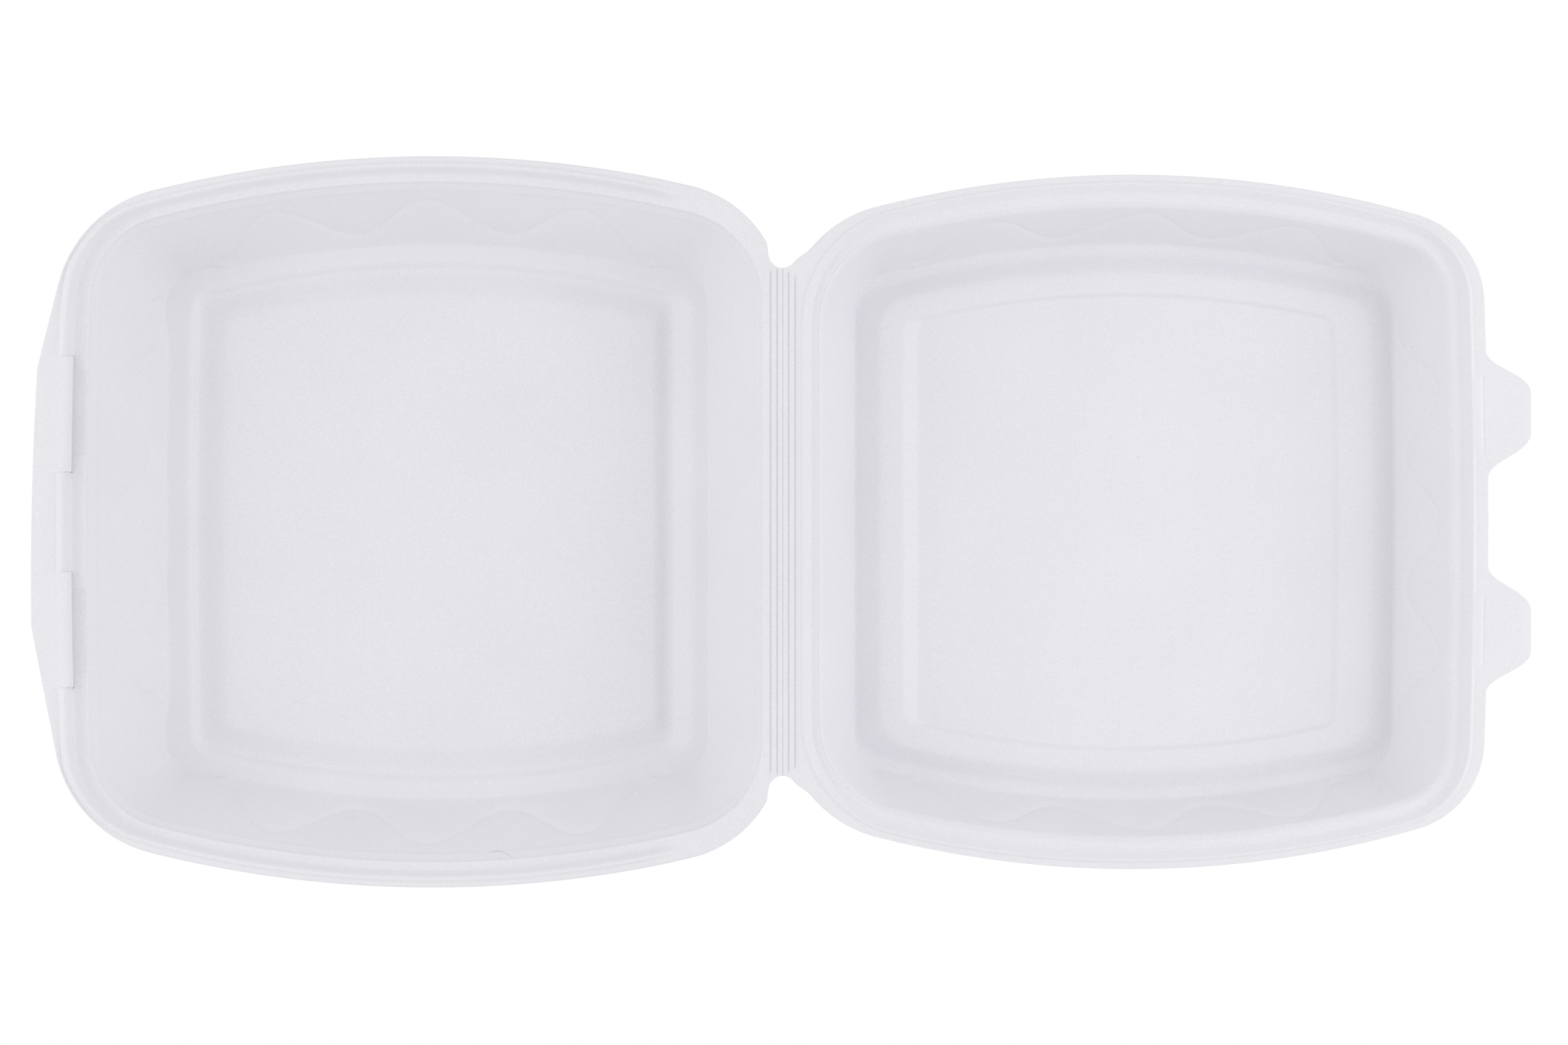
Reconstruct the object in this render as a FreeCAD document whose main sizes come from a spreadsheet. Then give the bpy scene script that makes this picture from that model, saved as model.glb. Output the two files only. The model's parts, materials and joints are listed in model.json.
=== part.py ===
import FreeCAD
import Part
import Sketcher
import math
import os

# Hinged foam food container, lying open with both cavities up.
# Both halves are modelled from the fold outwards along +X, with their rims at height zero,
# and are then put in place: the tray is turned to -X and the lid lies on the table at +X.

SIZES = {
    # whole container
    "foam": 2.2,
    "rim_sheet": 1.3,
    "wall_skin": 2.5,
    "lid_wall_skin": 2.63,
    "ledge_foam": 2.0,
    "foot_wrap": 1.76,
    "skin_bite": 0.5,
    "skin_overlap": 1.5,
    "lip_skin_foot": 0.9,
    "floor_corner_step": 1.0,
    "cutter_reach": 20,
    "cutter_depth": 5,
    "fold_gap": 0.3,
    "fold_lift": 0.15,
    "front_bow": 2000,
    # hinge strip
    "strip_half": 81.6,
    "strip_width": 5.2,
    "notch_radius": 4.6,
    "groove_near": 1.66,
    "groove_far": 4.0,
    "groove_width": 0.8,
    "groove_depth": 0.6,
    # tray rim and its raised lip
    "rim_side": 117.3,
    "rim_apex": 112.4,
    "rim_bow": 373,
    "rim_corner": 41.0,
    "rim_hinge_corner": 38.0,
    "apron_reach": 241.2,
    "apron_skew": 2.0,
    "apron_kink_wide": 49.6,
    "apron_kink_narrow": 33.7,
    "apron_slant_wide": 14.0,
    "apron_slant_narrow": 11.0,
    "apron_bow": 1100,
    "apron_top": 4.3,
    "lip_top": 5.0,
    "lip_front": 230.9,
    "lip_side": 114.1,
    "lip_run": 2.1,
    "lip_corner": 32.6,
    "lip_hinge_corner": 34.8,
    "lip_fade_start": 44.0,
    "lip_fade_end": 30.0,
    # tray seat for the lid, wall and floor
    "seat_front": 224.2,
    "seat_side": 109.7,
    "seat_bow": 351,
    "seat_hinge": 6.2,
    "step_run": 0.8,
    "step_drop": 1.6,
    "tray_wall_front": 220.5,
    "tray_wall_side": 106.3,
    "tray_wall_drop": 6.0,
    "tray_ring_front": 201.6,
    "tray_ring_side": 91.2,
    "tray_ring_hinge": 24.5,
    "tray_ring_bow": 312,
    "tray_ring_corner": 9.5,
    "tray_ring_depth": 36.0,
    "channel_front": 192.8,
    "channel_side": 84.7,
    "channel_hinge": 29.2,
    "channel_run": 2.2,
    "channel_run_hinge": 6.6,
    "channel_bow": 302,
    "channel_depth": 2.8,
    "channel_corner": 6.5,
    "tray_panel_front": 183.2,
    "tray_panel_side": 75.7,
    "tray_panel_hinge": 41.4,
    "tray_panel_run": 3.0,
    "tray_panel_rise": 2.0,
    "tray_panel_bow": 295,
    "tray_panel_corner": 3.5,
    # slits for the latch tabs
    "slit_inner": 16.2,
    "slit_outer": 53.0,
    "slit_front": 228.1,
    "slit_gap": 0.5,
    "slit_clear": 2.1,
    # lid rim
    "lid_front": 227.6,
    "lid_side": 111.7,
    "lid_apex": 113.0,
    "lid_bow": 335,
    "lid_corner": 29.5,
    "lid_hinge_corner": 39.7,
    "bead_front": 222.3,
    "bead_side": 108.4,
    "bead_hinge": 7.2,
    "bead_width": 1.1,
    "bead_base_flank": 0.3,
    "bead_top_flank": 0.2,
    "bead_height": 0.5,
    "ledge_run": 2.4,
    "ledge_drop": 2.5,
    "ledge_width": 3.2,
    "lid_wall_round": 1.5,
    # lid wall and floor
    "valley_front": 200.8,
    "valley_side": 91.0,
    "valley_hinge": 24.3,
    "valley_bow": 308,
    "valley_corner": 11.5,
    "valley_depth": 30.5,
    "valley_width": 2.9,
    "valley_width_front": 0.9,
    "shelf_front": 193.2,
    "shelf_side": 83.4,
    "shelf_hinge": 32.2,
    "shelf_bow": 319,
    "shelf_corner": 10.8,
    "shelf_rise": 3.0,
    "recess_front": 183.2,
    "recess_side": 75.7,
    "recess_hinge": 39.8,
    "recess_bow": 292,
    "recess_corner": 5.0,
    "recess_depth": 2.0,
    "recess_run": 2.6,
    "recess_run_hinge": 5.3,
    # latch tabs on the lid
    "tab_root_inner": 16.9,
    "tab_root_outer": 52.2,
    "tab_tip_inner": 25.4,
    "tab_tip_outer": 44.6,
    "tab_reach": 241.5,
    "tab_corner": 3.6,
    # wave relief on the walls
    "wave_relief": 0.8,
    "wave_pitch_side": 48.0,
    "wave_pitch_front": 42.6,
    "wave_crest": 0.83,
    "wave_trough": 0.20,
}


class Size:
    """A length that carries its spreadsheet formula beside its value."""

    def __init__(self, formula, value):
        self.formula = formula
        self.value = float(value)

    def join(self, other, sign, value):
        other = as_size(other)
        return Size(f"({self.formula} {sign} {other.formula})", value(self.value, other.value))

    def __add__(self, other):
        return self.join(other, "+", lambda a, b: a + b)

    def __sub__(self, other):
        return self.join(other, "-", lambda a, b: a - b)

    def __rsub__(self, other):
        return as_size(other) - self

    def __mul__(self, other):
        return self.join(other, "*", lambda a, b: a * b)

    def __truediv__(self, other):
        return self.join(other, "/", lambda a, b: a / b)

    def __neg__(self):
        return Size(f"(0 - {self.formula})", -self.value)


def as_size(number):
    return number if isinstance(number, Size) else Size(repr(float(number)), number)


doc = FreeCAD.newDocument("container")
sheet = doc.addObject("Spreadsheet::Sheet", "sizes")
for row, (alias, number) in enumerate(SIZES.items(), start=1):
    sheet.set(f"A{row}", alias)
    sheet.set(f"B{row}", str(number))
    sheet.setAlias(f"B{row}", alias)
doc.recompute()
S = {alias: Size(f"sizes.{alias}", sheet.get(alias)) for alias in SIZES}
ZERO = as_size(0)

# The lid's bead and ledge are narrower beside the fold than on the other sides.
LID_HINGE_SHARE = 0.8


def new_sketch(body, name, role, offset=ZERO):
    sketch = body.newObject("Sketcher::SketchObject", name)
    plane = [part for part in body.Origin.OriginFeatures if part.Role == role][0]
    sketch.AttachmentSupport = (plane, "")
    sketch.MapMode = "FlatFace"
    sketch.setExpression("AttachmentOffset.Base.z", offset.formula)
    return sketch


def bind(sketch, kind, places, size):
    """Adds a dimension and ties it to its spreadsheet formula."""
    index = sketch.addConstraint(Sketcher.Constraint(kind, *places, size.value))
    sketch.setExpression(f"Constraints[{index}]", size.formula)


def bind_point(sketch, geometry, point, x, y):
    bind(sketch, "DistanceX", (-1, 1, geometry, point), x)
    bind(sketch, "DistanceY", (-1, 1, geometry, point), y)


def polygon(sketch, points):
    """A closed polygon with every corner held by two dimensions."""
    corners = [FreeCAD.Vector(x.value, y.value, 0) for x, y in points]
    count = len(corners)
    for i in range(count):
        sketch.addGeometry(Part.LineSegment(corners[i], corners[(i + 1) % count]), False)
    for i in range(count):
        sketch.addConstraint(Sketcher.Constraint("Coincident", i, 2, (i + 1) % count, 1))
    for i, (x, y) in enumerate(points):
        bind_point(sketch, i, 1, x, y)


def arc(centre, radius, start, end):
    """A counter-clockwise arc between two points on its circle."""
    circle = Part.Circle(centre, FreeCAD.Vector(0, 0, 1), radius)
    first = math.atan2(start.y - centre.y, start.x - centre.x)
    last = math.atan2(end.y - centre.y, end.x - centre.x)
    return Part.ArcOfCircle(circle, first, last if last > first else last + 2 * math.pi)


def towards(start, end, length):
    """The point at a given length from start, on the way through end."""
    return start + (end - start) * (length / start.distanceToPoint(end))


def corner_centre(side_centre, reach_a, other_centre, reach_b):
    """Where two circles meet, on the outer side of both centres."""
    gap = other_centre - side_centre
    along = (reach_a ** 2 - reach_b ** 2 + gap.Length ** 2) / (2 * gap.Length)
    across = math.sqrt(reach_a ** 2 - along ** 2)
    unit = gap / gap.Length
    foot = side_centre + unit * along
    turned = FreeCAD.Vector(-unit.y, unit.x, 0) * across
    return max(foot + turned, foot - turned, key=lambda point: point.x + point.y)


def bowed_seeds(front, half, hinge, apex, bow, front_bow, corner, hinge_corner):
    """Centres and tangent points of one bowed outline, on its +Y half."""
    side = FreeCAD.Vector(apex, half - bow, 0)
    nose = FreeCAD.Vector(front - front_bow, 0, 0)
    outer = corner_centre(side, bow - corner, nose, front_bow - corner)
    inner_x = hinge + hinge_corner
    inner_y = side.y + math.sqrt((bow - hinge_corner) ** 2 - (inner_x - apex) ** 2)
    inner = FreeCAD.Vector(inner_x, inner_y, 0)
    return {
        "side": side, "nose": nose, "outer": outer, "inner": inner,
        "front_end": towards(nose, outer, front_bow),
        "side_start": towards(side, outer, bow),
        "side_end": towards(side, inner, bow),
        "hinge_end": FreeCAD.Vector(hinge, inner_y, 0),
    }


def flipped(point):
    return FreeCAD.Vector(point.x, -point.y, 0)


def outline(body, name, level, front, half, hinge, apex, bow, corner, hinge_corner):
    """Bowed front and sides, a straight hinge side and four round corners, all tangent."""
    front_bow = S["front_bow"]
    seed = bowed_seeds(front.value, half.value, hinge.value, apex.value, bow.value,
                       front_bow.value, corner.value, hinge_corner.value)
    low = {key: flipped(point) for key, point in seed.items()}
    sketch = new_sketch(body, name, "XY_Plane", level)
    pieces = [
        Part.LineSegment(seed["hinge_end"], low["hinge_end"]),
        arc(low["inner"], hinge_corner.value, low["hinge_end"], low["side_end"]),
        arc(low["side"], bow.value, low["side_end"], low["side_start"]),
        arc(low["outer"], corner.value, low["side_start"], low["front_end"]),
        arc(seed["nose"], front_bow.value, low["front_end"], seed["front_end"]),
        arc(seed["outer"], corner.value, seed["front_end"], seed["side_start"]),
        arc(seed["side"], bow.value, seed["side_start"], seed["side_end"]),
        arc(seed["inner"], hinge_corner.value, seed["side_end"], seed["hinge_end"]),
    ]
    for piece in pieces:
        sketch.addGeometry(piece, False)
    for i in range(8):
        sketch.addConstraint(Sketcher.Constraint("Tangent", i, 2, (i + 1) % 8, 1))
    bind(sketch, "DistanceX", (-1, 1, 0, 1), hinge)
    sketch.addConstraint(Sketcher.Constraint("Vertical", 0))
    for index in (1, 7):
        bind(sketch, "Radius", (index,), hinge_corner)
    for index in (3, 5):
        bind(sketch, "Radius", (index,), corner)
    for index, centre_y in ((2, bow - half), (6, half - bow)):
        bind(sketch, "Radius", (index,), bow)
        bind_point(sketch, index, 3, apex, centre_y)
    bind(sketch, "Radius", (4,), front_bow)
    bind_point(sketch, 4, 3, front - front_bow, ZERO)
    return sketch


def loft(body, kind, name, sections):
    feature = body.newObject(f"PartDesign::{kind}Loft", name)
    feature.Profile = sections[0]
    feature.Sections = sections[1:]
    feature.Ruled = True
    feature.Refine = False
    return feature


def pad(body, name, sketch, length):
    feature = body.newObject("PartDesign::Pad", name)
    feature.Profile = sketch
    feature.setExpression("Length", length.formula)
    feature.Refine = False
    return feature


def pocket_through(body, name, sketch):
    """Cuts a profile away on both sides of its plane, through everything."""
    feature = body.newObject("PartDesign::Pocket", name)
    feature.Profile = sketch
    feature.SideType = "Symmetric"
    feature.Type = "ThroughAll"
    feature.Refine = False
    return feature


def pad_both_ways(body, name, sketch, width):
    feature = body.newObject("PartDesign::Pad", name)
    feature.Profile = sketch
    feature.SideType = "Symmetric"
    feature.setExpression("Length", width.formula)
    feature.Refine = False
    return feature


def hinge_strip(body):
    """Half of the pressed strip beside the fold, with its round end notches and its grooves."""
    edge = S["fold_gap"] / 2
    end = S["strip_half"]
    plan = new_sketch(body, "strip_plan", "XY_Plane", -S["rim_sheet"])
    width = S["strip_width"]
    polygon(plan, [(edge, -end), (width, -end), (width, end), (edge, end)])
    pad(body, "strip", plan, S["rim_sheet"])
    notches = new_sketch(body, "notch_plan", "XY_Plane", ZERO)
    for index, side in enumerate((-1, 1)):
        middle = (end + S["notch_radius"]) * side
        circle = Part.Circle(FreeCAD.Vector(0, middle.value, 0), FreeCAD.Vector(0, 0, 1),
                             S["notch_radius"].value)
        notches.addGeometry(circle, False)
        bind_point(notches, index, 3, ZERO, middle)
        bind(notches, "Radius", (index,), S["notch_radius"])
    pocket_through(body, "notches", notches)
    half = S["groove_width"] / 2
    for label in ("groove_near", "groove_far"):
        profile = new_sketch(body, label + "_profile", "XZ_Plane")
        middle = S[label]
        polygon(profile, [(middle - half, ZERO), (middle, -S["groove_depth"]), (middle + half, ZERO)])
        groove = body.newObject("PartDesign::Pocket", label)
        groove.Profile = profile
        groove.SideType = "Symmetric"
        groove.setExpression("Length", (S["strip_half"] * 2).formula)
        groove.Refine = False


def rim_outline(body):
    """The tray's outer edge: like the other outlines, with an apron cut slightly askew in front."""
    sketch = new_sketch(body, "rim_plan", "XY_Plane", -S["rim_sheet"])
    half, apex, bow = S["rim_side"].value, S["rim_apex"].value, S["rim_bow"].value
    corner, hinge_corner = S["rim_corner"].value, S["rim_hinge_corner"].value
    hinge = S["fold_gap"] / 2
    side = FreeCAD.Vector(apex, half - bow, 0)
    inner_x = hinge.value + hinge_corner
    inner_y = side.y + math.sqrt((bow - hinge_corner) ** 2 - (inner_x - apex) ** 2)
    inner = FreeCAD.Vector(inner_x, inner_y, 0)
    kinks = [(S["apron_reach"], S["apron_kink_narrow"], S["apron_slant_narrow"]),
             (S["apron_reach"] - S["apron_skew"], S["apron_kink_wide"], S["apron_slant_wide"])]
    halves = []
    for reach, kink_y, slant in kinks:
        kink = FreeCAD.Vector(reach.value, kink_y.value, 0)
        lean = math.radians(slant.value)
        inward = FreeCAD.Vector(-math.cos(lean), -math.sin(lean), 0)
        run = FreeCAD.Vector(-math.sin(lean), math.cos(lean), 0)
        start = kink + inward * corner - side
        along = start.dot(run)
        travel = -along + math.sqrt(along ** 2 - start.Length ** 2 + (bow - corner) ** 2)
        centre = kink + inward * corner + run * travel
        halves.append({"kink": kink, "centre": centre, "slant_end": centre - inward * corner,
                       "side_start": towards(side, centre, bow)})
    upper = halves[0]
    lower = {key: flipped(point) for key, point in halves[1].items()}
    side_end, hinge_end = towards(side, inner, bow), FreeCAD.Vector(hinge.value, inner_y, 0)
    chord = upper["kink"] - lower["kink"]
    middle = (upper["kink"] + lower["kink"]) / 2
    back = FreeCAD.Vector(-chord.y, chord.x, 0) / chord.Length
    nose = middle + back * math.sqrt(S["apron_bow"].value ** 2 - chord.Length ** 2 / 4)
    pieces = [
        Part.LineSegment(hinge_end, flipped(hinge_end)),
        arc(flipped(inner), hinge_corner, flipped(hinge_end), flipped(side_end)),
        arc(flipped(side), bow, flipped(side_end), lower["side_start"]),
        arc(lower["centre"], corner, lower["side_start"], lower["slant_end"]),
        Part.LineSegment(lower["slant_end"], lower["kink"]),
        arc(nose, S["apron_bow"].value, lower["kink"], upper["kink"]),
        Part.LineSegment(upper["kink"], upper["slant_end"]),
        arc(upper["centre"], corner, upper["slant_end"], upper["side_start"]),
        arc(side, bow, upper["side_start"], side_end),
        arc(inner, hinge_corner, side_end, hinge_end),
    ]
    for piece in pieces:
        sketch.addGeometry(piece, False)
    for i in range(10):
        kind = "Coincident" if i in (4, 5) else "Tangent"
        sketch.addConstraint(Sketcher.Constraint(kind, i, 2, (i + 1) % 10, 1))
    bind(sketch, "DistanceX", (-1, 1, 0, 1), hinge)
    sketch.addConstraint(Sketcher.Constraint("Vertical", 0))
    for index, radius in ((1, "rim_hinge_corner"), (9, "rim_hinge_corner"), (2, "rim_bow"),
                          (8, "rim_bow"), (3, "rim_corner"), (7, "rim_corner"), (5, "apron_bow")):
        bind(sketch, "Radius", (index,), S[radius])
    bind_point(sketch, 2, 3, S["rim_apex"], S["rim_bow"] - S["rim_side"])
    bind_point(sketch, 8, 3, S["rim_apex"], S["rim_side"] - S["rim_bow"])
    bind_point(sketch, 4, 2, S["apron_reach"] - S["apron_skew"], -S["apron_kink_wide"])
    bind_point(sketch, 5, 2, S["apron_reach"], S["apron_kink_narrow"])
    for index, lean, sign in ((4, "apron_slant_wide", -1), (6, "apron_slant_narrow", 1)):
        value = math.radians(90 + sign * S[lean].value)
        number = sketch.addConstraint(Sketcher.Constraint("Angle", index, value))
        sketch.setExpression(f"Constraints[{number}]", f"(90 + {sign} * {S[lean].formula}) * 1 deg")
    return sketch


def tray_outline(body, name, level, front, half, hinge, corner, hinge_corner, bow=None):
    return outline(body, name, level, front, half, hinge, S["rim_apex"],
                   bow or S["seat_bow"], corner, hinge_corner)


def tray_wall_sections(body, prefix, grow, hinge_grow, bottom):
    """The wall's top and foot outlines, grown outwards and run down past the floor."""
    top_corner = S["lip_corner"] - S["lip_side"] + S["tray_wall_side"] + grow
    hinge_corner = S["lip_hinge_corner"] - S["lip_side"] + S["tray_wall_side"] + grow
    ring_corner = S["tray_ring_corner"] + grow
    hinge = S["seat_hinge"] + S["tray_wall_drop"] / 2 - hinge_grow
    return [
        tray_outline(body, prefix + "_top", -S["tray_wall_drop"], S["tray_wall_front"] + grow,
                     S["tray_wall_side"] + grow, hinge, top_corner, hinge_corner),
        tray_outline(body, prefix + "_foot", -bottom, S["tray_ring_front"] + grow,
                     S["tray_ring_side"] + grow, S["tray_ring_hinge"] - hinge_grow, ring_corner,
                     ring_corner, S["tray_ring_bow"]),
    ]


def build_tray_shell():
    body = doc.addObject("PartDesign::Body", "tray_shell")
    sheet_under = -S["rim_sheet"]
    far = S["apron_reach"] + S["cutter_reach"]
    pad(body, "rim", rim_outline(body), S["apron_top"] + S["rim_sheet"])

    under = new_sketch(body, "under_apron_profile", "XZ_Plane")
    below = sheet_under - S["cutter_depth"]
    apron_under = S["apron_top"] - S["rim_sheet"]
    polygon(under, [(S["lip_fade_end"], below), (far, below), (far, apron_under),
                    (S["lip_fade_start"], apron_under), (S["lip_fade_end"], sheet_under)])
    pocket_through(body, "under_apron", under)

    def lip(name, level, grow):
        drop = S["rim_side"] - S["lip_side"] - grow
        return tray_outline(body, name, level, S["lip_front"] + grow, S["lip_side"] + grow,
                            S["fold_gap"] / 2 + drop, S["lip_corner"] + grow,
                            S["lip_hinge_corner"] + grow, S["rim_bow"])

    loft(body, "Additive", "lip", [
        lip("lip_skin_foot", sheet_under, S["lip_skin_foot"] - S["lip_run"]),
        lip("lip_skin_top", S["lip_top"], S["rim_sheet"])])

    skin = S["wall_skin"]
    seat_inset = S["lip_side"] - S["seat_side"]
    seat_corner = S["lip_corner"] - seat_inset
    seat_hinge_corner = S["lip_hinge_corner"] - seat_inset
    ring_under = -(S["tray_ring_depth"] + S["foam"])
    wall_under = -(S["tray_wall_drop"] + S["skin_overlap"])
    wall_top, wall_foot = "tray_wall_side", "tray_ring_side"
    loft(body, "Additive", "wall_skin", [
        tray_outline(body, "skin_rim", -S["skin_bite"], S["seat_front"] + S["rim_sheet"],
                     S["seat_side"] + S["rim_sheet"], S["seat_hinge"] - S["rim_sheet"],
                     seat_corner + S["rim_sheet"], seat_hinge_corner + S["rim_sheet"]),
        tray_outline(body, "skin_top", wall_under, S["tray_wall_front"] + skin,
                     S[wall_top] + skin, S["seat_hinge"] + S["tray_wall_drop"] / 2 - skin,
                     S["lip_corner"] - S["lip_side"] + S[wall_top] + skin,
                     S["lip_hinge_corner"] - S["lip_side"] + S[wall_top] + skin),
        tray_outline(body, "skin_foot", ring_under, S["tray_ring_front"] + skin / 2,
                     S[wall_foot] + skin / 2, S["tray_ring_hinge"] - skin / 2,
                     S["tray_ring_corner"] + skin / 2, S["tray_ring_corner"] + skin / 2,
                     S["tray_ring_bow"])])

    run, run_hinge = S["channel_run"], S["channel_run_hinge"]
    corner, bow = S["channel_corner"], S["channel_bow"]
    base_corner = corner - S["floor_corner_step"]
    foot_level = -(S["tray_ring_depth"] + S["channel_depth"] + S["foam"])
    wrap = S["foot_wrap"]
    loft(body, "Additive", "foot", [
        tray_outline(body, "foot_top", ring_under + S["skin_bite"], S["channel_front"] + wrap,
                     S["channel_side"] + wrap, S["channel_hinge"] - wrap, corner + wrap,
                     corner + wrap, bow),
        tray_outline(body, "foot_base", foot_level, S["channel_front"] - run + wrap / 2,
                     S["channel_side"] - run + wrap / 2, S["channel_hinge"] + run_hinge - wrap / 2,
                     corner, corner, bow)])

    above = new_sketch(body, "above_rim_profile", "XZ_Plane")
    ceiling = S["lip_top"] + S["cutter_depth"]
    polygon(above, [(-S["strip_width"], ZERO), (S["lip_fade_end"], ZERO),
                    (S["lip_fade_start"], S["apron_top"]), (S["lip_fade_start"], ceiling),
                    (-S["strip_width"], ceiling)])
    pocket_through(body, "lip_fade", above)

    loft(body, "Subtractive", "lip_inside", [
        lip("lip_foot", ZERO, -S["lip_run"]), lip("lip_edge", S["lip_top"], ZERO)])

    wall = tray_wall_sections(body, "wall", ZERO, ZERO, S["tray_ring_depth"])
    loft(body, "Subtractive", "cavity", [
        tray_outline(body, "seat_edge", ZERO, S["seat_front"], S["seat_side"], S["seat_hinge"],
                     seat_corner, seat_hinge_corner),
        tray_outline(body, "step_foot", -S["step_drop"], S["seat_front"] - S["step_run"],
                     S["seat_side"] - S["step_run"], S["seat_hinge"] + S["step_drop"] / 2,
                     seat_corner - S["step_run"], seat_hinge_corner - S["step_run"])] + wall)

    loft(body, "Subtractive", "channel", [
        tray_outline(body, "channel_edge", -S["tray_ring_depth"], S["channel_front"],
                     S["channel_side"], S["channel_hinge"], corner, corner, bow),
        tray_outline(body, "channel_base", -(S["tray_ring_depth"] + S["channel_depth"]),
                     S["channel_front"] - run, S["channel_side"] - run,
                     S["channel_hinge"] + run_hinge, base_corner, base_corner, bow)])

    panel_front, panel_side = S["tray_panel_front"], S["tray_panel_side"]
    panel_hinge, panel_corner = S["tray_panel_hinge"], S["tray_panel_corner"]
    panel_level = -(S["tray_ring_depth"] + S["channel_depth"] - S["tray_panel_rise"])
    spread, panel_bow = S["tray_panel_run"], S["tray_panel_bow"]
    sink = S["foam"] / 4
    loft(body, "Additive", "panel", [
        tray_outline(body, "panel_base", -(S["tray_ring_depth"] + S["channel_depth"] + sink),
                     panel_front + spread, panel_side + spread, panel_hinge - spread,
                     panel_corner + spread / 2, panel_corner + spread / 2, panel_bow),
        tray_outline(body, "panel_edge", panel_level, panel_front, panel_side, panel_hinge,
                     panel_corner, panel_corner, panel_bow)])
    loft(body, "Subtractive", "under_panel", [
        tray_outline(body, "under_panel_base", foot_level, panel_front + spread / 2,
                     panel_side + spread / 2, panel_hinge - spread / 2,
                     panel_corner + S["floor_corner_step"],
                     panel_corner + S["floor_corner_step"], panel_bow),
        tray_outline(body, "under_panel_top", panel_level - S["foam"], panel_front - wrap,
                     panel_side - wrap, panel_hinge + wrap, panel_corner - S["floor_corner_step"],
                     panel_corner - S["floor_corner_step"], panel_bow)])
    hinge_strip(body)
    cut_slits(body)
    return body


def cut_slits(body):
    """Two slots through the foot of the lip, each under a strip of lip that stands open."""
    start, end = S["slit_front"], S["lip_front"] + S["rim_sheet"]
    plan = new_sketch(body, "slit_plan", "XY_Plane", S["slit_clear"])
    for side in (-1, 1):
        rectangle(plan, start, end, S["slit_inner"] * side, S["slit_outer"] * side)
    slots = body.newObject("PartDesign::Pocket", "slits")
    slots.Profile = plan
    slots.setExpression("Length", (S["slit_clear"] + S["rim_sheet"] * 2).formula)
    slots.Refine = False
    middle = (S["slit_inner"] + S["slit_outer"]) / 2
    edge = start + S["slit_gap"]
    for name, offset in (("left", middle), ("right", -middle)):
        profile = new_sketch(body, f"slit_lip_{name}_profile", "XZ_Plane", offset)
        polygon(profile, [(edge, S["slit_clear"]), (end, S["apron_top"] - S["rim_sheet"]),
                          (end, S["apron_top"]), (S["lip_front"], S["lip_top"]),
                          (edge, S["slit_clear"] + S["rim_sheet"])])
        pad_both_ways(body, f"slit_lip_{name}", profile, S["slit_outer"] - S["slit_inner"])


def rectangle(sketch, left, right, low, high):
    first = sketch.GeometryCount
    corners = [(left, low), (right, low), (right, high), (left, high)]
    points = [FreeCAD.Vector(x.value, y.value, 0) for x, y in corners]
    for i in range(4):
        sketch.addGeometry(Part.LineSegment(points[i], points[(i + 1) % 4]), False)
    for i in range(4):
        sketch.addConstraint(
            Sketcher.Constraint("Coincident", first + i, 2, first + (i + 1) % 4, 1))
    for i, (x, y) in enumerate(corners):
        bind_point(sketch, first + i, 1, x, y)


def lid_outline(body, name, level, front, half, hinge, corner, hinge_corner, bow=None):
    return outline(body, name, level, front, half, hinge, S["lid_apex"],
                   bow or S["lid_bow"], corner, hinge_corner)


def lid_wall_sections(body, prefix, grow, hinge_grow, top, bottom):
    """The lid wall's top and foot outlines, grown outwards."""
    ledge_in = S["ledge_run"] + S["ledge_width"] + S["lid_wall_round"]
    inset = S["lid_side"] - S["bead_side"] + ledge_in - grow
    return [
        lid_outline(body, prefix + "_top", -top, S["bead_front"] - ledge_in + grow,
                    S["bead_side"] - ledge_in + grow,
                    S["bead_hinge"] + ledge_in * LID_HINGE_SHARE - hinge_grow,
                    S["lid_corner"] - inset, S["lid_hinge_corner"] - inset),
        lid_outline(body, prefix + "_foot", -bottom, S["valley_front"] + grow,
                    S["valley_side"] + grow, S["valley_hinge"] - hinge_grow,
                    S["valley_corner"] + grow, S["valley_corner"] + grow, S["valley_bow"]),
    ]


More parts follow.
